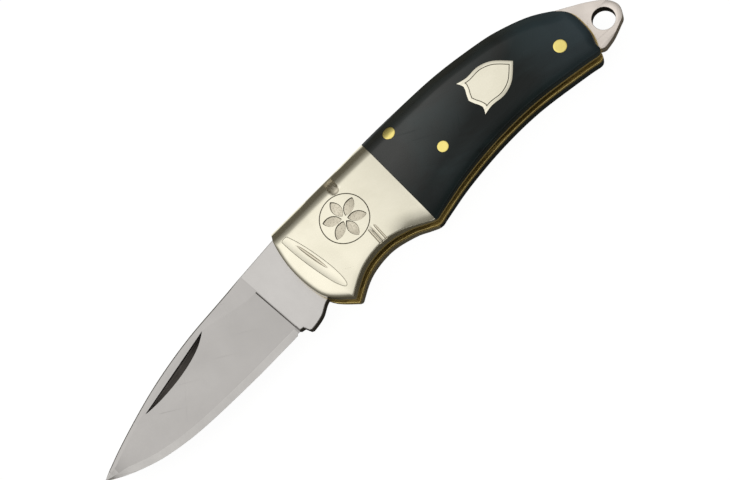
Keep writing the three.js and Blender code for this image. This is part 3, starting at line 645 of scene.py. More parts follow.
def stretch(loop, start, end):
    """The part of a closed line that runs counter-clockwise between two places."""
    first, last = nearest(loop, start), nearest(loop, end)
    return np.roll(loop, -first, axis=0)[: (last - first) % len(loop) + 1]


# %% The handle's outline and its four borders
def level_of(node):
    """Lowest and highest level of a solid in mm."""
    low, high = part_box(node)
    return low.z / MM, high.z / MM


FAR_LINER_BOTTOM = level_of("far_liner")[0]
NEAR_LINER_BOTTOM, NEAR_LINER_TOP = level_of("near_liner")
NEAR_FACE = level_of("near_bolster")[1]
MIDDLE = NEAR_FACE / 2
JUST_ABOVE_LINER = NEAR_LINER_TOP + 0.1
OUTLINE_SPACING = 0.25
FRONT_TOP_NEAR = (-2.7, 9.8)  # places near the handle's corners, to find them by
TAIL_LOW_NEAR = (62.5, -6.3)
SHOULDER_NEAR = (61.9, 5.25)

handle = smooth_loop(section("near_liner", (NEAR_LINER_BOTTOM + NEAR_LINER_TOP) / 2)[0],
                     OUTLINE_SPACING)
chin = handle[np.argmin(handle[:, 1])]
front_top = handle[nearest(handle, FRONT_TOP_NEAR)]
tail_low = handle[nearest(handle, TAIL_LOW_NEAR)]
shoulder = handle[nearest(handle, SHOULDER_NEAR)]
underside = stretch(handle, chin, tail_low)
tail = stretch(handle, tail_low, shoulder)
near_border = smooth_loop(section("near_scale", JUST_ABOVE_LINER)[0], OUTLINE_SPACING)
near_tail = stretch(near_border, tail_low, shoulder)
spine = stretch(handle, shoulder, front_top)
front = stretch(handle, front_top, chin)
print("handle outline:", len(handle), "points; chin", chin.round(2), "tail", tail_low.round(2))

# %% [markdown]
# ## The covers' rounded surface
#
# Bolsters and scales are ground together on the finished handle, so they share one surface.
# It is nearly flat in the middle and rolls widely over the spine. Towards the belly it first slopes
# down a little and then ends in a tight edge, where fingers rest against the finger groove;
# behind the groove this edge softens into a wider roll. At the front the bolster leans away
# as a facet, and from its middle to the joint it sinks, as the belt has worn it.
#
# The two sides differ a little. The far bolster is rounded more at its front, and the far
# edge along the belly is nearly square. The near scale ends just inside its liner, whose rim
# shows around the tail.
#
# The height is written as a function of the place on the handle. Then a bolster, a scale and
# the head of a pin that is filed flush all agree, however finely each is divided.

# %% Widths and drops of the roundings, in mm
SPINE_CHAMFER = 1.55  # width of the straight slope along the spine
SPINE_SLOPES = (1.05, 0.88)  # its steepness at the bolster and at the scale
SLOPE_CHANGES = (10, 26)  # the steepness changes between these places along the handle
SPINE_ROLL = 1.78  # width of the roll between that slope and the flat face
ROLL_SLOPES = (0.17, 0.82)  # the roll's steepness at its two ends
TAIL_ROUND = (1.7, 1.5)  # width inwards and drop, here and in the next seven
FRONT_ROUND = (0.9, 0.5)
BELLY_SLOPE = (1.2, 0.06)  # along the finger groove
BELLY_TIGHT = (0.2, 0.2)  # and at its very edge
BELLY_ROLL = (3.3, 1.0)  # behind the finger groove
SCALE_ROLL = (2.6, 1.0)  # and along the scale
FAR_FRONT = (1.6, 2.2)  # the far bolster is rounded more at its front end
FAR_BELLY = (0.5, 0.5)  # the far side's edge lies on the table and is hardly rounded
ROLL_STARTS, ROLL_FULL, SCALE_FULL = 13.0, 19.0, 25.0  # along the handle
FACET_SLOPE = math.tan(math.radians(6.5))
FACE_INSET = 0.03  # the covers' faces lie this far inside the solids, under pins and shield
CROWN = 0.10  # the faces sink this much from the middle to the borders
CROWN_REACH = 8.0
BOLSTER_CROWN = 0.5  # and this much from the bolster's middle to the joint
BOLSTER_MIDDLE = 9.0
JOINT_REACH = 20.6
LEVEL_AGAIN = 38.0  # behind the joint the scale rises to the full height up to here
LEAST_LEAN = -0.4  # ahead of the bolster's middle it sinks no further than at this share
MOST_DROP = 2.5  # nowhere lower than this
print("the spine's slope ends", round(SPINE_CHAMFER + SPINE_ROLL, 2), "mm from the border")


# %% Shapes of rounded edges
def rounding(away, width, drop):
    """Drop of a quarter-round edge at a distance from the border."""
    share = np.clip(1 - away / width, 0, 1)
    return drop * (1 - np.sqrt(1 - share ** 2))


def smooth_step(value, low, high):
    share = np.clip((value - low) / (high - low), 0, 1)
    return share * share * (3 - 2 * share)


def sloping(away, width, drop):
    """Drop of a surface that leans more and more towards its border."""
    return drop * np.clip(1 - away / width, 0, 1) ** 2


def spine_drop(x, away):
    steep = SPINE_SLOPES[0] + (SPINE_SLOPES[1] - SPINE_SLOPES[0]) * smooth_step(x, *SLOPE_CHANGES)
    on_roll = np.clip(SPINE_CHAMFER + SPINE_ROLL - away, 0, SPINE_ROLL)
    bend = (ROLL_SLOPES[1] - ROLL_SLOPES[0]) / SPINE_ROLL / 2
    on_slope = steep * np.clip(SPINE_CHAMFER - away, 0, None)
    return ROLL_SLOPES[0] * on_roll + bend * on_roll ** 2 + on_slope


def belly_drop(x, away, side):
    if side < 0:
        return rounding(away, *FAR_BELLY)
    tight = sloping(away, *BELLY_SLOPE) + rounding(away, *BELLY_TIGHT)
    share = smooth_step(x, ROLL_STARTS, ROLL_FULL)
    on_scale = smooth_step(x, ROLL_FULL, SCALE_FULL)
    wide = (1 - on_scale) * sloping(away, *BELLY_ROLL) + on_scale * rounding(away, *SCALE_ROLL)
    return (1 - share) * tight + share * wide


print("drop 1 mm from the spine:", round(float(spine_drop(10.0, 1.0)), 2))


# %% Height of a cover anywhere on the handle
def cover_drop(points, side):
    """How far a cover's surface lies under its flat face."""
    flat = points.reshape(-1, 2)
    end = near_tail if side > 0 else tail
    to_spine, to_belly, to_tail, to_front = (
        distance_to(flat, line) for line in (spine, underside, end, front))
    front_round = FRONT_ROUND if side > 0 else FAR_FRONT
    total = spine_drop(flat[:, 0], to_spine) ** 4 + rounding(to_tail, *TAIL_ROUND) ** 4
    total += rounding(to_front, *front_round) ** 4 + belly_drop(flat[:, 0], to_belly, side) ** 4
    inset = np.minimum.reduce([
        to_spine, to_belly, to_tail, to_front, np.full(len(flat), CROWN_REACH)])
    ridge = (front_top - chin) / np.linalg.norm(front_top - chin)
    ahead = (chin[0] - flat[:, 0]) * ridge[1] - (chin[1] - flat[:, 1]) * ridge[0]
    facet = FACET_SLOPE * np.clip(ahead, 0, None)
    crown = CROWN * (1 - inset / CROWN_REACH) ** 2
    towards_joint = (flat[:, 0] - BOLSTER_MIDDLE) / (JOINT_REACH - BOLSTER_MIDDLE)
    rising = 1 - smooth_step(flat[:, 0], JOINT_REACH, LEVEL_AGAIN)
    crown += BOLSTER_CROWN * np.clip(towards_joint, LEAST_LEAN, 1) ** 2 * rising
    drop = np.minimum(total ** 0.25 + facet + crown + FACE_INSET, MOST_DROP)
    return drop.reshape(points.shape[:-1])


def on_cover(points, side):
    """Places on the near (side 1) or far (side -1) cover's surface."""
    height = MIDDLE + side * (NEAR_FACE - MIDDLE - cover_drop(points, side))
    return np.concatenate([points, height[..., None]], axis=-1)


probe = np.array([[10.0, 0.0], [10.0, 9.0], [-3.0, 1.0], [45.0, 2.5]])
print("surface height at four places:", on_cover(probe, 1)[:, 2].round(2))


# %% [markdown]
# ## Meshes from grids and rings
#
# Two ways of building are enough for the whole knife. A cover is a four-sided patch, a net
# stretched between four border lines, with its lines crowded where the surface bends. Pins,
# grooves and every cutting tool are lofts: rings of points joined one to the next.


# %% A net between four border lines
def along_line(line, shares):
    reach = np.r_[0, np.cumsum(np.linalg.norm(np.diff(line, axis=0), axis=1))]
    return np.stack([np.interp(shares * reach[-1], reach, line[:, k]) for k in (0, 1)], axis=1)


def net(bottom, top, left, right, across, upwards):
    """Places between four lines: bottom and top run rightwards, left and right upwards."""
    low, high = along_line(bottom, across), along_line(top, across)
    start, end = along_line(left, upwards), along_line(right, upwards)
    u, v = across[None, :, None], upwards[:, None, None]
    ruled = (1 - v) * low + v * high + (1 - u) * start[:, None] + u * end[:, None]
    return ruled - ((1 - u) * ((1 - v) * low[0] + v * high[0]) + u * ((1 - v) * low[-1] + v * high[-1]))


BEND_STEPS = 9


def crowded(first, middle, last):
    """Shares from 0 to 1: even steps in the middle, and crowded in the first and last stretch
    as on a quarter circle."""
    bend = 1 - np.cos(np.linspace(0, math.pi / 2, BEND_STEPS))
    inner = np.linspace(first, 1 - last, middle + 1)
    parts = [first * bend if first else [], inner, 1 - last * bend if last else []]
    return np.unique(np.concatenate(parts).round(9))


print("a crowded row:", crowded(0.2, 3, 0.2).round(2))


# %% Solids from grids and rings
MERGED = 0.0005 * MM  # points closer than this are one point


def bare_mesh(name, points, faces):
    mesh = bpy.data.meshes.new(name)
    mesh.from_pydata((np.asarray(points, float) * MM).tolist(), [], faces)
    work = bmesh.new()
    work.from_mesh(mesh)
    bmesh.ops.remove_doubles(work, verts=work.verts, dist=MERGED)
    bmesh.ops.dissolve_degenerate(work, edges=work.edges, dist=MERGED)
    bmesh.ops.recalc_face_normals(work, faces=work.faces)
    work.to_mesh(mesh)
    work.free()
    return mesh


def grid_solid(name, upper, lower):
    """A closed solid between two nets of points that share their rim."""
    rows, columns = upper.shape[:2]
    index = np.arange(rows * columns).reshape(rows, columns)
    below = index.size
    faces = []
    for r in range(rows - 1):
        for c in range(columns - 1):
            a, b, d, e = index[r, c], index[r, c + 1], index[r + 1, c + 1], index[r + 1, c]
            faces += [(a, b, d, e), (a + below, e + below, d + below, b + below)]
    rim = [*index[0, :-1], *index[:-1, -1], *index[-1, :0:-1], *index[:0:-1, 0]]
    faces += [(a, a + below, b + below, b) for a, b in zip(rim, rim[1:] + rim[:1])]
    faces = [tuple(int(i) for i in face) for face in faces]
    return bare_mesh(name, np.vstack([upper.reshape(-1, 3), lower.reshape(-1, 3)]), faces)


def loft(name, rings, endless=False):
    """A closed solid through rings of equally many points. It has flat ends, unless it is
    endless and runs back into its first ring."""
    count = len(rings[0])
    total = len(rings) * count
    faces = [] if endless else [tuple(range(count)), tuple(range(total - count, total))]
    for r in range(len(rings) if endless else len(rings) - 1):
        for i in range(count):
            a, b = r * count + i, r * count + (i + 1) % count
            faces.append((a, b, (b + count) % total, (a + count) % total))
    return bare_mesh(name, np.vstack(rings), faces)


def level_ring(outline, height):
    return np.column_stack([outline, np.broadcast_to(height, len(outline))])


def circle(place, radius, count=48):
    angle = np.linspace(0, 2 * math.pi, count, endpoint=False)
    return np.array(place) + radius * np.column_stack([np.cos(angle), np.sin(angle)])


# %% [markdown]
# ## From a mesh to a finished piece
#
# A new piece takes the place of one solid: it rides on the same body and hides the solid. A
# cut with a tool is a boolean modifier, which is applied at once. The tool's own material
# stays on the faces that it leaves, so the floor of a groove is finished in the same step.
#
# Sharp edges of real metal are never quite sharp. A fine bevel breaks them, and it is what
# draws the thin bright lines that make an edge look real. Weighted normals then keep the
# broad faces flat and let only the bevel shade.


# %% Pieces, cuts and broken edges
SHARP = 35  # degrees between two faces: a sharper edge is a real one
TOOL_OVERLAP = 1.0  # mm that a tool reaches beyond what it cuts


def settled_mesh(piece):
    """The piece's mesh with its modifiers done."""
    bpy.context.view_layer.update()
    ready = piece.evaluated_get(bpy.context.evaluated_depsgraph_get())
    return bpy.data.meshes.new_from_object(ready)


def add_piece(name, mesh, finish, node):
    piece = bpy.data.objects.new(name, mesh)
    bpy.context.scene.collection.objects.link(piece)
    mesh.materials.clear()
    mesh.materials.append(finish)
    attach(piece, frame["nodes"][node]["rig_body"])
    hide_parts(node)
    return piece


def carve(piece, tool_mesh, finish, floor=None):
    """Takes the tool's shape out of the piece. The tool's first face may have a finish of
    its own, for the floor that it leaves."""
    tool_mesh.materials.append(finish)
    if floor:
        tool_mesh.materials.append(floor)
        tool_mesh.polygons[0].material_index = 1
    tool = bpy.data.objects.new("tool", tool_mesh)
    bpy.context.scene.collection.objects.link(tool)
    cut = piece.modifiers.new("cut", "BOOLEAN")
    cut.operation = "DIFFERENCE"
    cut.solver = "EXACT"
    cut.material_mode = "TRANSFER"
    cut.object = tool
    mesh = settled_mesh(piece)
    piece.modifiers.remove(cut)
    bpy.data.objects.remove(tool)
    piece.data = mesh


def break_edges(piece, width, crease=SHARP):
    """Smooth shading with crisp creases, and a fine bevel on every sharp edge."""
    piece.data.shade_smooth()
    piece.data.set_sharp_from_angle(angle=math.radians(crease))
    if width:
        bevel = piece.modifiers.new("broken_edges", "BEVEL")
        bevel.width = width * MM
        bevel.segments = 2
        bevel.limit_method = "ANGLE"
        bevel.angle_limit = math.radians(SHARP)
        bevel.use_clamp_overlap = True
        bevel.material = -1
    weighted = piece.modifiers.new("flat_faces", "WEIGHTED_NORMAL")
    weighted.keep_sharp = True
    size = in_mm(piece.dimensions)
    print("piece", piece.name, "size", size, "faces", len(piece.data.polygons))


# %% [markdown]
# ## Plates: liners, backspring and shield
#
# These parts are cut from sheet, so each is its outline given a thickness. Blender's flat
# curves do this well: the outer line is filled, the inner lines become holes, and the bevel
# breaks the edges. The bevel grows outwards, so the line is first drawn in by its width.
#
# Only the edges of the liners are polished, together with the covers. Their flat sides get much
# darker copies of brass and the lanyard hole's wall near-black steel: painted shade on all of them.


# %% A plate with holes and broken edges
def plate_mesh(name, loops, bottom, top, edge_break):
    flat = bpy.data.curves.new(name, "CURVE")
    flat.dimensions = "2D"
    flat.fill_mode = "BOTH"
    flat.extrude = ((top - bottom) / 2 - edge_break) * MM
    flat.bevel_depth = edge_break * MM
    flat.bevel_resolution = 1
    flat.offset = -edge_break * MM
    for loop in loops:
        line = flat.splines.new("POLY")
        line.points.add(len(loop) - 1)
        for point, (x, y) in zip(line.points, loop):
            point.co = (x * MM, y * MM, 0, 1)
        line.use_cyclic_u = True
    drawn = bpy.data.objects.new(name, flat)
    bpy.context.scene.collection.objects.link(drawn)
    mesh = settled_mesh(drawn)
    bpy.data.objects.remove(drawn)
    mesh.transform(Matrix.Translation((0, 0, (bottom + top) / 2 * MM)))
    work = bmesh.new()
    work.from_mesh(mesh)
    bmesh.ops.remove_doubles(work, verts=work.verts, dist=MERGED)
    bmesh.ops.recalc_face_normals(work, faces=work.faces)
    work.to_mesh(mesh)
    work.free()
    return mesh


def plate(name, node, finish, edge_break):
    bottom, top = level_of(node)
    loops = [smooth_loop(loop, OUTLINE_SPACING) for loop in section(node, (bottom + top) / 2)]
    piece = add_piece(name, plate_mesh(name, loops, bottom, top, edge_break), finish, node)
    break_edges(piece, 0)
    return piece


# %% Liners
SHEET_BREAK = 0.12
FLAT = 0.99  # a face's normal is at least this much along Z if it is a flat side

near_liner = plate("brass_liner_near", "near_liner", brass, SHEET_BREAK)
far_liner = plate("brass_liner_far", "far_liner", brass, SHEET_BREAK)
# The flat sides get the darker brass: painted shade.
for liner, flat_finish in ((near_liner, brass_rim), (far_liner, brass_inside)):
    liner.data.materials.append(flat_finish)
    for face in liner.data.polygons:
        face.material_index = int(abs(face.normal.z) > FLAT)

# %% Backspring and the wall of its lanyard hole
UPRIGHT = 0.5  # a face's normal is less than this much along Z if it is a wall
WALL_REACH = 0.03

backspring = plate("steel_backspring", "backspring", spring_satin, SHEET_BREAK)
lanyard = max(section("backspring", MIDDLE)[1:], key=lambda loop: loop[:, 0].mean())
lanyard_middle = (lanyard.min(axis=0) + lanyard.max(axis=0)) / 2
lanyard_radius = np.linalg.norm(lanyard - lanyard_middle, axis=1).max()
# The lanyard hole's wall gets near-black steel: painted shade.
backspring.data.materials.append(steel_painted_shade)
for face in backspring.data.polygons:
    away = np.linalg.norm(np.array(face.center[:2]) / MM - lanyard_middle)
    on_wall = away < lanyard_radius + WALL_REACH and abs(face.normal.z) < UPRIGHT
    face.material_index = int(on_wall)
print("lanyard hole: middle", lanyard_middle.round(2), "radius", round(float(lanyard_radius), 2))

# %% [markdown]
# ## Bolsters
#
# The near bolster carries the knife's decoration. Its front is ground to a lens-shaped facet,
# whose ridge runs from the top corner to the chin. So its net is made of two: one between
# the front border and the ridge, and one from the ridge to the joint with the scale.

# %% Bolster blanks
SQUARE = 60  # degrees: the joint's corners turn more than this


def joint_line(node, tail_end):
    """The straight border between bolster and scale, from below upwards. It is at the
    bolster's tail end and at the scale's front end."""
    outline = section(node, JUST_ABOVE_LINER)[0]
    corners = outline[np.abs(turns(outline)) > SQUARE]
    ordered = corners[np.argsort(corners[:, 0])]
    pair = ordered[-2:] if tail_end else ordered[:2]
    return pair[np.argsort(pair[:, 1])]


def bolster(name, node, side):
    joint = joint_line("near_bolster", tail_end=True)
    ridge = np.array([chin, front_top])
    below = stretch(handle, chin, joint[0])
    below[-1] = joint[0]
    above = stretch(handle, joint[1], front_top)[::-1]
    above[-1] = joint[1]
    upwards = crowded(0.075, 30, 0.15)
    facet = net(front[-1:].repeat(2, axis=0), front[:1].repeat(2, axis=0), front[::-1], ridge,
                crowded(0.3, 8, 0), upwards)
    body = net(below, above, ridge, joint, np.linspace(0, 1, 52), upwards)
    places = np.concatenate([facet[:, :-1], body], axis=1)
    inner = NEAR_LINER_TOP if side > 0 else FAR_LINER_BOTTOM
    lower = np.concatenate([places, np.full(places.shape[:2] + (1,), inner)], axis=-1)
    return add_piece(name, grid_solid(name, on_cover(places, side), lower), nickel_silver, node)


near_bolster = bolster("bolster_near_side", "near_bolster", 1)
far_bolster = bolster("bolster_far_side", "far_bolster", -1)
break_edges(far_bolster, 0.06)

# %% [markdown]
# ### The flute, the cross grooves and the rosette
#
# Each ornament is cut with a tool, as an engraver would. The flute is a shallow lens with a
# deeper narrow one on its tail side, and a fine line is cut around it. A scoop with three fine
# grooves in it runs over the edge above, where a thumb finds it, and a shallower one below.
# Between them is a compass rosette of six petals, the oldest ornament that a pair of
# dividers can draw, sunk with a punched floor.

# %% Lens-shaped cuts and fine lines
WIRE_LIFT = 0.2  # the middle of a fine line's tool is this share of its radius above the face


def lens_tool(middle, length, width, depth, turn, rise):
    """A long ellipsoid that dips `depth` under the surface. Its middle is `rise` above it."""
    x, y = middle
    surface = on_cover(np.array([[x, y]]), 1)[0, 2]
    rings = []
    for tilt in np.linspace(-math.pi / 2, math.pi / 2, 41)[1:-1]:
        angle = np.linspace(0, 2 * math.pi, 32, endpoint=False)
        across = width / 2 * math.cos(tilt) * np.cos(angle)
        upward = (depth + rise) * math.cos(tilt) * np.sin(angle)
        lengthwise = np.full(32, length / 2 * math.sin(tilt))
        rings.append(np.column_stack([
            x + across * math.cos(turn) - lengthwise * math.sin(turn),
            y + across * math.sin(turn) + lengthwise * math.cos(turn),
            surface + rise + upward]))
    return loft("lens_tool", rings)


def lens_border(middle, length, width, depth, turn, rise):
    """The line in which the ellipsoid of `lens_tool` meets the cover's surface."""
    surface = on_cover(np.array([middle]), 1)[0, 2]
    angle = np.linspace(0, 2 * math.pi, 120, endpoint=False)[:, None]
    reach = np.linspace(0.02, 0.999, 400)
    across = width / 2 * reach * np.cos(angle)
    lengthwise = length / 2 * reach * np.sin(angle)
    places = np.stack([middle[0] + across * math.cos(turn) - lengthwise * math.sin(turn),
                       middle[1] + across * math.sin(turn) + lengthwise * math.cos(turn)], axis=-1)
    above = surface + rise - (depth + rise) * np.sqrt(1 - reach ** 2) - on_cover(places, 1)[..., 2]
    first = np.argmax(above > 0, axis=1)
    return places[np.arange(len(first)), first]


def engrave(outline, tube, finish):
    """Cuts a fine closed line, as wide as a wire that lies half sunk in the surface."""
    path = on_cover(outline, 1)
    path[:, 2] += WIRE_LIFT * tube
    ahead = np.roll(outline, -1, axis=0) - np.roll(outline, 1, axis=0)
    sideways = np.column_stack([ahead[:, 1], -ahead[:, 0]]) / np.linalg.norm(ahead, axis=1)[:, None]
    angle = np.linspace(0, 2 * math.pi, 12, endpoint=False)
    rings = [spot + tube * (np.cos(angle)[:, None] * np.append(way, 0)
                            + np.sin(angle)[:, None] * np.array([0, 0, 1]))
             for spot, way in zip(path, sideways)]
    carve(near_bolster, loft("line_tool", rings, endless=True), finish)


# %% Flute
FLUTE_TURN = math.radians(12)
FLUTE = {"middle": (-0.07, 0.10), "length": 25, "width": 3.5, "depth": 0.16,
         "turn": FLUTE_TURN, "rise": 0.4}
INNER_FLUTE = {"middle": (0.3, 0.67), "length": 7.8, "width": 0.72, "depth": 0.30,
               "turn": FLUTE_TURN, "rise": 0.0}
FLUTE_LINE = 0.055
FLUTE_LINE_STEP = 0.12

carve(near_bolster, lens_tool(**FLUTE), nickel_silver)
# The inner lens gets the darker groove copy, and the line around the flute a darker one still: painted
# shade.
carve(near_bolster, lens_tool(**INNER_FLUTE), nickel_groove)
border = lens_border(**FLUTE)
flute_line = smooth_line(np.vstack([border[-3:], border, border[:4]]), FLUTE_LINE_STEP, lead=3)[:-1]
engrave(flute_line, FLUTE_LINE, nickel_shadow)
print("flute cut:", len(near_bolster.data.polygons), "faces, border", len(flute_line), "points")

# %% Tool for scoops and grooves
LEAST_WALL = 0.04  # of the bolster, between a groove's floor and the liner under it
RUN_IN = 3  # the tool is at its full depth after a third of its way


def groove_tool(x, inner_y, outer_y, radius, depth):
    """A rod that follows the cover's surface, and rises out of it at its inner end."""
    share = np.sin(np.linspace(0, math.pi / 2, 24))
    ys = inner_y + (outer_y - inner_y) * share
    path = on_cover(np.column_stack([np.full(24, x), ys]), 1)
    tangent = np.gradient(path, axis=0)
    tangent /= np.linalg.norm(tangent, axis=1)[:, None]
    outward = np.cross(np.array([1.0, 0, 0]), tangent)
    outward *= np.sign(outward[:, 2:])
    sunk = depth * np.sqrt(np.clip(RUN_IN * share, 0, 1))
    centres = path + (radius - sunk)[:, None] * outward
    floor = NEAR_LINER_TOP + LEAST_WALL + radius * outward[:, 2]
    centres[:, 2] = np.maximum(centres[:, 2], floor)
    angle = np.linspace(0, 2 * math.pi, 48 if radius > 1 else 16, endpoint=False)
    across = np.cos(angle)[:, None] * np.array([1.0, 0, 0])
    return loft("groove_tool", [
        centre + radius * (across + np.sin(angle)[:, None] * lift)
        for centre, lift in zip(centres, outward)])


def border_y(line, x):
    ordered = line[np.argsort(line[:, 0])]
    return np.interp(x, ordered[:, 0], ordered[:, 1])


# %% Scoops and cross grooves
SCOOP_RADIUS = 2.0
GROOVE_RADIUS = 0.3
GROOVE_PITCH = 0.62
TOP_X, TOP_INNER, TOP_DEPTH = 11.1, 6.3, 0.30  # place, inner end and depth
TOP_SHORT = 0.4  # the scoop above ends this far from the spine's border
TOP_GROOVE_INNER, TOP_GROOVE_STEP, TOP_GROOVE_SHORT, TOP_GROOVE_DEPTH = 6.9, 0.3, 0.3, 0.34
LOW_X, LOW_INNER, LOW_DEPTH = 11.7, -2.2, 0.08
LOW_GROOVE_X, LOW_GROOVE_INNER, LOW_GROOVE_DEPTH = 11.6, -2.5, 0.15

# The upper scoop and all fine grooves get the darker groove copy of nickel silver: painted shade.
top_end = border_y(spine, TOP_X) - TOP_SHORT
scoop = groove_tool(TOP_X, TOP_INNER, top_end, SCOOP_RADIUS, TOP_DEPTH)
carve(near_bolster, scoop, nickel_groove)
scoop = groove_tool(LOW_X, LOW_INNER, border_y(underside, LOW_X), SCOOP_RADIUS, LOW_DEPTH)
carve(near_bolster, scoop, nickel_silver)
for k in (-1, 0, 1):
    inner = TOP_GROOVE_INNER + TOP_GROOVE_STEP * abs(k)
    groove = groove_tool(TOP_X + k * GROOVE_PITCH, inner, top_end - TOP_GROOVE_SHORT,
                         GROOVE_RADIUS, TOP_GROOVE_DEPTH)
    carve(near_bolster, groove, nickel_groove)
    x = LOW_GROOVE_X + k * GROOVE_PITCH
    groove = groove_tool(x, LOW_GROOVE_INNER, border_y(underside, x), GROOVE_RADIUS, LOW_GROOVE_DEPTH)
    carve(near_bolster, groove, nickel_groove)
print("grooves cut:", len(near_bolster.data.polygons), "faces")

# %% Rosette
ROSETTE_MIDDLE = np.array([9.1, 1.92])
PETAL_START, PETAL_REACH = 0.5, 4.1
PETAL_HALF_WIDTH = 0.95
PETAL_DEPTH = 0.24
PETAL_WALL = 0.09  # the walls lean inwards by this much
PETAL_FULLNESS = 0.85  # at 1 its sides are plain arcs, and less makes it fuller
RING_RADIUS = 4.59
RING_TUBE = 0.1  # the engraved ring is as wide as a wire of this radius


def petal(turn, half_width, start, end):
    """A pointed petal from near the middle to near the rim, with two equal sides."""
    share = np.linspace(0, 1, 17)
    bulge = half_width * (4 * share * (1 - share)) ** PETAL_FULLNESS
    along = start + (end - start) * share
    outline = np.vstack([np.column_stack([along, -bulge]),
                         np.column_stack([along, bulge])[-2:0:-1]])
    spin = np.array([[math.cos(turn), math.sin(turn)], [-math.sin(turn), math.cos(turn)]])
    return ROSETTE_MIDDLE + outline @ spin


def plane_under(outline):
    """Heights at the outline's points on the plane that fits the surface there best."""
    table = np.column_stack([outline, np.ones(len(outline))])
    slope = np.linalg.lstsq(table, on_cover(outline, 1)[:, 2], rcond=None)[0]
    return table @ slope


# The petals' walls and the engraved ring get the darkest copy of nickel silver, and the petals' punched
# floor has its dents painted darker: painted shade.
for k in range(6):
    turn = math.radians(60 * k + 30)
    lower = petal(turn, PETAL_HALF_WIDTH - PETAL_WALL,
                  PETAL_START + PETAL_WALL * 2, PETAL_REACH - PETAL_WALL * 2)
    upper = petal(turn, PETAL_HALF_WIDTH, PETAL_START, PETAL_REACH)
    rings = [level_ring(lower, plane_under(lower) - PETAL_DEPTH),
             level_ring(upper, plane_under(upper) + 0.01), level_ring(upper, NEAR_FACE + TOOL_OVERLAP)]
    carve(near_bolster, loft("petal_tool", rings), nickel_painted_shade, floor=nickel_recess)
engrave(circle(ROSETTE_MIDDLE, RING_RADIUS, 96), RING_TUBE, nickel_painted_shade)
break_edges(near_bolster, 0.04)  # prints the finished piece

# %% [markdown]
# ## Scales
#
# The horn scales continue the bolsters' surface to the round tail. Each is one net from the
# joint to the tail's border, with its lines crowded along the edges. The three brass pins
# pass through them, and the near one is cut out for the shield.

# %% Scale blanks with their holes
PIN_GAP = 0.03


def pin_place(node):
    low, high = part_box(node)
    middle = (low + high) / 2
    return np.array([middle.x, middle.y]) / MM, (high.x - low.x) / 2 / MM


def scale(name, node, side):
    joint = joint_line("near_scale", tail_end=False)
    border, end = (near_border, near_tail) if side > 0 else (handle, tail)
    below = stretch(border, joint[0], end[0])
    below[0] = joint[0]
    above = stretch(border, end[-1], joint[1])[::-1]
    above[0] = joint[1]
    places = net(below, above, joint, end, crowded(0, 80, 0.045), crowded(0.07, 30, 0.17))
    inner = NEAR_LINER_TOP if side > 0 else FAR_LINER_BOTTOM
    lower = np.concatenate([places, np.full(places.shape[:2] + (1,), inner)], axis=-1)
    piece = add_piece(name, grid_solid(name, on_cover(places, side), lower), horn, node)
    low, high = (NEAR_LINER_TOP, NEAR_FACE) if side > 0 else (0, FAR_LINER_BOTTOM)
    ends = (low - TOOL_OVERLAP, high + TOOL_OVERLAP)
    for pin in ("spring_pin", "tail_pin", "near_scale_rivet"):
        place, radius = pin_place(pin)
        hole = circle(place, radius + PIN_GAP)
        carve(piece, loft("hole_tool", [level_ring(hole, end) for end in ends]), horn)
    return piece


near_scale = scale("horn_scale_near", "near_scale", 1)
far_scale = scale("horn_scale_far", "far_scale", -1)
break_edges(far_scale, 0.05)

# %% [markdown]
# ## Shield
#
# The shield is an inlay of nickel silver, flush with the horn. Its pocket is cut with the
# shield's own outline, drawn outwards by a hair, so a thin dark joint shows around it. Its
# face is engraved with one line that repeats the outline.

# %% Shield and its pocket
SHIELD_GAP = 0.03
SHIELD_BORDER = 0.62
LINE_WIDTH = 0.16

shield_low, shield_high = level_of("shield")
shield_line = smooth_loop(section("shield", (shield_low + shield_high) / 2)[0], 0.2)
pocket = moved_in(shield_line, -SHIELD_GAP)
pocket_rings = [level_ring(pocket, shield_low - SHIELD_GAP),
                level_ring(pocket, NEAR_FACE + TOOL_OVERLAP)]
carve(near_scale, loft("pocket_tool", pocket_rings), horn)
break_edges(near_scale, 0.04)

shield_face = NEAR_FACE - 0.01
shield_mesh = plate_mesh("shield", [shield_line], shield_low, shield_face, 0.05)
shield = add_piece("engraved_shield", shield_mesh, nickel_silver, "shield")
print("shield outline:", len(shield_line), "points")

# %% Engraving on the shield
LINE_DEPTH = 0.12
line_pair = [moved_in(shield_line, SHIELD_BORDER), moved_in(shield_line, SHIELD_BORDER + LINE_WIDTH)]
line_tool = plate_mesh("line_tool", line_pair, shield_face - LINE_DEPTH,
                       NEAR_FACE + TOOL_OVERLAP, 0)
# The cut line gets the darkest copy of nickel silver: painted shade.
carve(shield, line_tool, nickel_painted_shade)
break_edges(shield, 0)

# %% [markdown]
# ## Pins
#
# Brass pins are peened and then filed flush with the horn, so their heads follow the rounded
# surface. Each head is made of rings laid on the covers' surface, a hair proud of it. The
# shield's two posts are filed flush and vanish in its polished face, so they end inside it.

# %% Pins with heads that follow the surface
PROUD = 0.018
HEAD_STEPS = (0.02, 0.3, 0.55, 0.75, 0.9, 0.97, 1.0)  # the rings' shares of the radius
RIM_STARTS = 0.9
RIM_DROP = 0.03


def head_rings(place, radius, side):
    """Rings from the rim of a pin's head to its middle."""
    rings = []
    for share in reversed(HEAD_STEPS):
        ring = on_cover(circle(place, radius * share), side)
        rim = RIM_DROP * max(0.0, (share - RIM_STARTS) / (1 - RIM_STARTS)) ** 2
        ring[:, 2] += side * (PROUD - rim)
        rings.append(ring)
    return rings


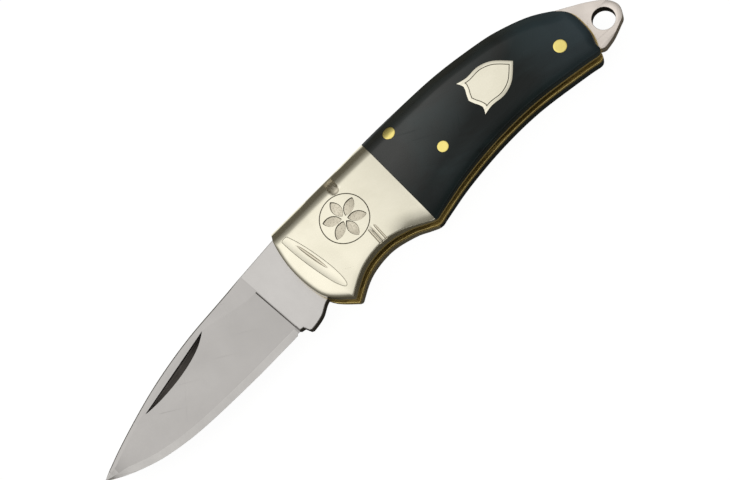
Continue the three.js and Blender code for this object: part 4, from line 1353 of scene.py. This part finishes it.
def pin(name, node, finish, near_head=True, far_head=True):
    place, radius = pin_place(node)
    low, high = level_of(node)
    near_end = head_rings(place, radius, 1) if near_head else [level_ring(circle(place, radius), high)]
    far_end = head_rings(place, radius, -1) if far_head else [level_ring(circle(place, radius), low)]
    piece = add_piece(name, loft(name, far_end[::-1] + near_end), finish, node)
    break_edges(piece, 0)


pin("brass_spring_pin", "spring_pin", pin_brass)
pin("brass_tail_pin", "tail_pin", pin_brass)
pin("brass_scale_rivet_near", "near_scale_rivet", pin_brass, far_head=False)
pin("brass_scale_rivet_far", "far_scale_rivet", pin_brass, near_head=False)

# %% The shield's posts
POST_DEPTH = 0.05  # under the shield's face
POST_RIM = 0.02

for end in ("front", "rear"):
    node = "shield_rivet_" + end
    place, radius = pin_place(node)
    rings = [level_ring(circle(place, radius), level_of(node)[0]),
             level_ring(circle(place, radius), shield_face - POST_DEPTH - POST_RIM),
             level_ring(circle(place, radius * RIM_STARTS), shield_face - POST_DEPTH)]
    post = add_piece("shield_post_" + end, loft("post", rings), nickel_silver, node)
    break_edges(post, 0)

# %% [markdown]
# ## Blade
#
# The blade starts as a plate with its real profile. Two grinding tools then thin it from the
# plunge line forward, one on each face: a long flat grind down from just under the spine, and
# a narrow steeper band along the edge. The plunge line fades out a few millimetres under the
# spine. The creases between these faces are only a few degrees, so the shading keeps them
# crisp from 2 degrees upwards.

# %% Blade profile
HEEL_NEAR = (-11.1, -7.05)  # a place near the heel, to find it by
PROFILE_SPACING = 0.22
BLADE_BREAK = 0.15
BLADE_BOTTOM, BLADE_TOP = level_of("blade")
HALF_THICKNESS = (BLADE_TOP - BLADE_BOTTOM) / 2
blade_loops = [smooth_loop(loop, PROFILE_SPACING) for loop in section("blade", MIDDLE)]
blade_mesh = plate_mesh("blade", blade_loops, BLADE_BOTTOM, BLADE_TOP, BLADE_BREAK)
blade = add_piece("ground_blade", blade_mesh, blade_satin, "blade")
blade_line = blade_loops[0]
tip = blade_line[np.argmin(blade_line[:, 0])]
heel = blade_line[nearest(blade_line, HEEL_NEAR)]
edge_line = stretch(blade_line, tip, heel)
spine_end = blade_line[np.argmax(blade_line[:, 1])]
blade_spine = stretch(blade_line, spine_end, tip)[::-1]
print("blade: tip", tip.round(2), "heel", heel.round(2), "points", len(blade_line))

# %% Section of the grinding tool
PLUNGE_REACH = 10.7  # from the pivot to the plunge line
PLUNGE_LEAN = 0.135
PLUNGE_RAMP = 0.45
PLUNGE_TOP = 4.3  # the plunge line starts this far under the blade's spine
PLUNGE_FADE = 4  # over this length the tool turns from leaning to square
SHOULDER = 3  # a bigger number makes the plunge steeper at its foot and softer at its top
GRIND_LINE_DROP = 1.0  # further on the grind starts this far under the spine
DROP_CHANGES = 0.35  # over this share of the ground length
BEVEL_WIDTH = 1.4  # of the sharpened band
BEVEL_HALF = 0.25  # half the blade's thickness at the top of the band, and so on
EDGE_HALF = 0.03
SPINE_TIP_HALF = 0.45
SPINE_BREAK = 0.26
SPINE_LEAN = 0.8  # of the broken edge of the spine
TIP_WEDGE = 0.22  # half the thickness over the height, at most, where the tip gets narrow
TIP_BAND, TIP_BREAK = 0.3, 0.1  # there band and break keep to these shares of the height
BEVEL_SHARE = 0.7  # of the spine's thickness, at most, at the top of the band


def grind_ring(x, depth_share, lean, side):
    """The grinding tool's section at one place along the blade."""
    inside = max(x, tip[0])
    edge_y = np.interp(inside, edge_line[:, 0], edge_line[:, 1])
    height = max(0.05, np.interp(inside, blade_spine[:, 0], blade_spine[:, 1]) - edge_y)
    along = np.clip((inside + PLUNGE_REACH) / (PLUNGE_REACH + tip[0]), 0, 1)
    spine_half = HALF_THICKNESS + (SPINE_TIP_HALF - HALF_THICKNESS) * along
    spine_half = min(spine_half, EDGE_HALF + TIP_WEDGE * height)
    risen = smooth_step(along, 0, DROP_CHANGES)
    grind_line_drop = PLUNGE_TOP + (GRIND_LINE_DROP - PLUNGE_TOP) * risen
    bevel_half = min(BEVEL_HALF, spine_half * BEVEL_SHARE)
    top = edge_y + height
    profile = [
        (edge_y - TOOL_OVERLAP, EDGE_HALF),
        (edge_y, EDGE_HALF),
        (edge_y + min(BEVEL_WIDTH, TIP_BAND * height), bevel_half),
        (top - min(grind_line_drop, TIP_BAND * height), spine_half),
        (top - min(SPINE_BREAK, TIP_BREAK * height), spine_half),
        (top + TOOL_OVERLAP, spine_half - SPINE_LEAN * (TOOL_OVERLAP + SPINE_BREAK)),
        (top + TOOL_OVERLAP, HALF_THICKNESS + TOOL_OVERLAP),
        (edge_y - TOOL_OVERLAP, HALF_THICKNESS + TOOL_OVERLAP),
    ]
    ring = []
    for k, (y, half) in enumerate(profile):
        if k < 6:
            half = HALF_THICKNESS + (half - HALF_THICKNESS) * depth_share
        ring.append((x - lean * y, y, MIDDLE + side * half))
    return np.array(ring)


print("tool at x -30:", grind_ring(-30.0, 1, 0, 1)[:4, 1:].round(2).tolist())


# %% Grinding
def grind_tool(side):
    start = -PLUNGE_REACH - PLUNGE_RAMP
    rings = []
    for x in np.linspace(tip[0] - TOOL_OVERLAP, start, 150):
        near_plunge = max(0.0, 1 - (start - x) / PLUNGE_FADE)
        rings.append(grind_ring(x, 1, PLUNGE_LEAN * near_plunge, side))
    for share in np.linspace(0, 1, 16)[1:]:
        depth_share = (1 - share) ** SHOULDER
        rings.append(grind_ring(start + PLUNGE_RAMP * share, depth_share, PLUNGE_LEAN, side))
    return loft("grind_tool", rings)


for side in (1, -1):
    carve(blade, grind_tool(side), blade_satin)
print("blade ground:", len(blade.data.polygons), "faces")

# %% [markdown]
# ### Nail nick
#
# The thumbnail pulls the blade open here. The nick is a crescent with a straight upper side. It
# is deepest under the straight side and runs out to the curved one. Its faces get near-black
# steel, a painted shade in the hollow.

# %% Nail nick
NICK_FRONT = np.array([-40.8, 1.1])
NICK_REAR = np.array([-23.4, 5.55])
NICK_WIDTH = 1.95
NICK_FULLNESS = 0.9
FLOOR_WIDTH = 0.25  # share of the width at the mouth
NICK_FLOOR = BLADE_TOP - 0.64
NICK_MOUTH = BLADE_TOP - 0.26


def crescent(width_share):
    share = np.linspace(0, 1, 41)
    along = NICK_REAR - NICK_FRONT
    down = np.array([along[1], -along[0]]) / np.linalg.norm(along)
    width = NICK_WIDTH * width_share * (4 * share * (1 - share)) ** NICK_FULLNESS
    curved = NICK_FRONT + share[:, None] * along + width[:, None] * down
    straight = NICK_FRONT + share[:, None] * along
    return np.vstack([curved, straight[-2:0:-1]])


nick_rings = [level_ring(crescent(FLOOR_WIDTH), NICK_FLOOR), level_ring(crescent(1), NICK_MOUTH),
              level_ring(crescent(1), BLADE_TOP + TOOL_OVERLAP)]
carve(blade, loft("nick_tool", nick_rings), steel_painted_shade)
print("nail nick cut:", len(blade.data.polygons), "faces")

# %% [markdown]
# ### Finishes on one blade
#
# The blade is one piece of steel, but each wheel leaves its own finish: the sharpened band is
# brighter than the ground sides. The tang's flat sides are painted brighter, as painted light, and
# its underside is painted dark, as painted shade. Every face is given its finish by where it lies.

# %% Faces of tang, band and underside
BAND_ENDS = 0.5  # the band runs on this far behind the heel
FACING_DOWN = -0.3

for finish in (tang_satin_painted_light, edge_satin, tang_painted_shade):
    blade.data.materials.append(finish)
satin, bright, edge, dull_and_shade = (list(blade.data.materials).index(finish) for finish in (
    blade_satin, tang_satin_painted_light, edge_satin, tang_painted_shade))
for face in blade.data.polygons:
    x, y = (value / MM for value in face.center[:2])
    over_edge = y - np.interp(x, edge_line[:, 0], edge_line[:, 1])
    on_tang = x > -PLUNGE_REACH - PLUNGE_LEAN * y and abs(face.normal.z) > FLAT
    on_band = x < heel[0] + BAND_ENDS and over_edge < BEVEL_WIDTH
    if face.material_index == satin and (on_tang or on_band):
        face.material_index = bright if on_tang else edge
    elif x > heel[0] and face.normal.y < FACING_DOWN and abs(face.normal.z) < UPRIGHT:
        face.material_index = dull_and_shade
break_edges(blade, 0, crease=2)

# %% [markdown]
# ## What stays as it is
#
# The pivot pin and the bolsters' rivets are hidden inside the handle. Their solids have the
# right shape, so they only get a finish. A kept solid is one that no new piece has hidden.

# %% Finishes for the hidden pins
for node, solid in frame["nodes"].items():
    if not solid.hide_render:
        solid.data.materials.clear()
        solid.data.materials.append(spring_satin if node == "pivot_pin" else nickel_silver)
        print("kept solid:", node)

# %% [markdown]
# ## Close the scene
#
# The dressed knife must not be bigger than its solids.

# %% A closing import
import json
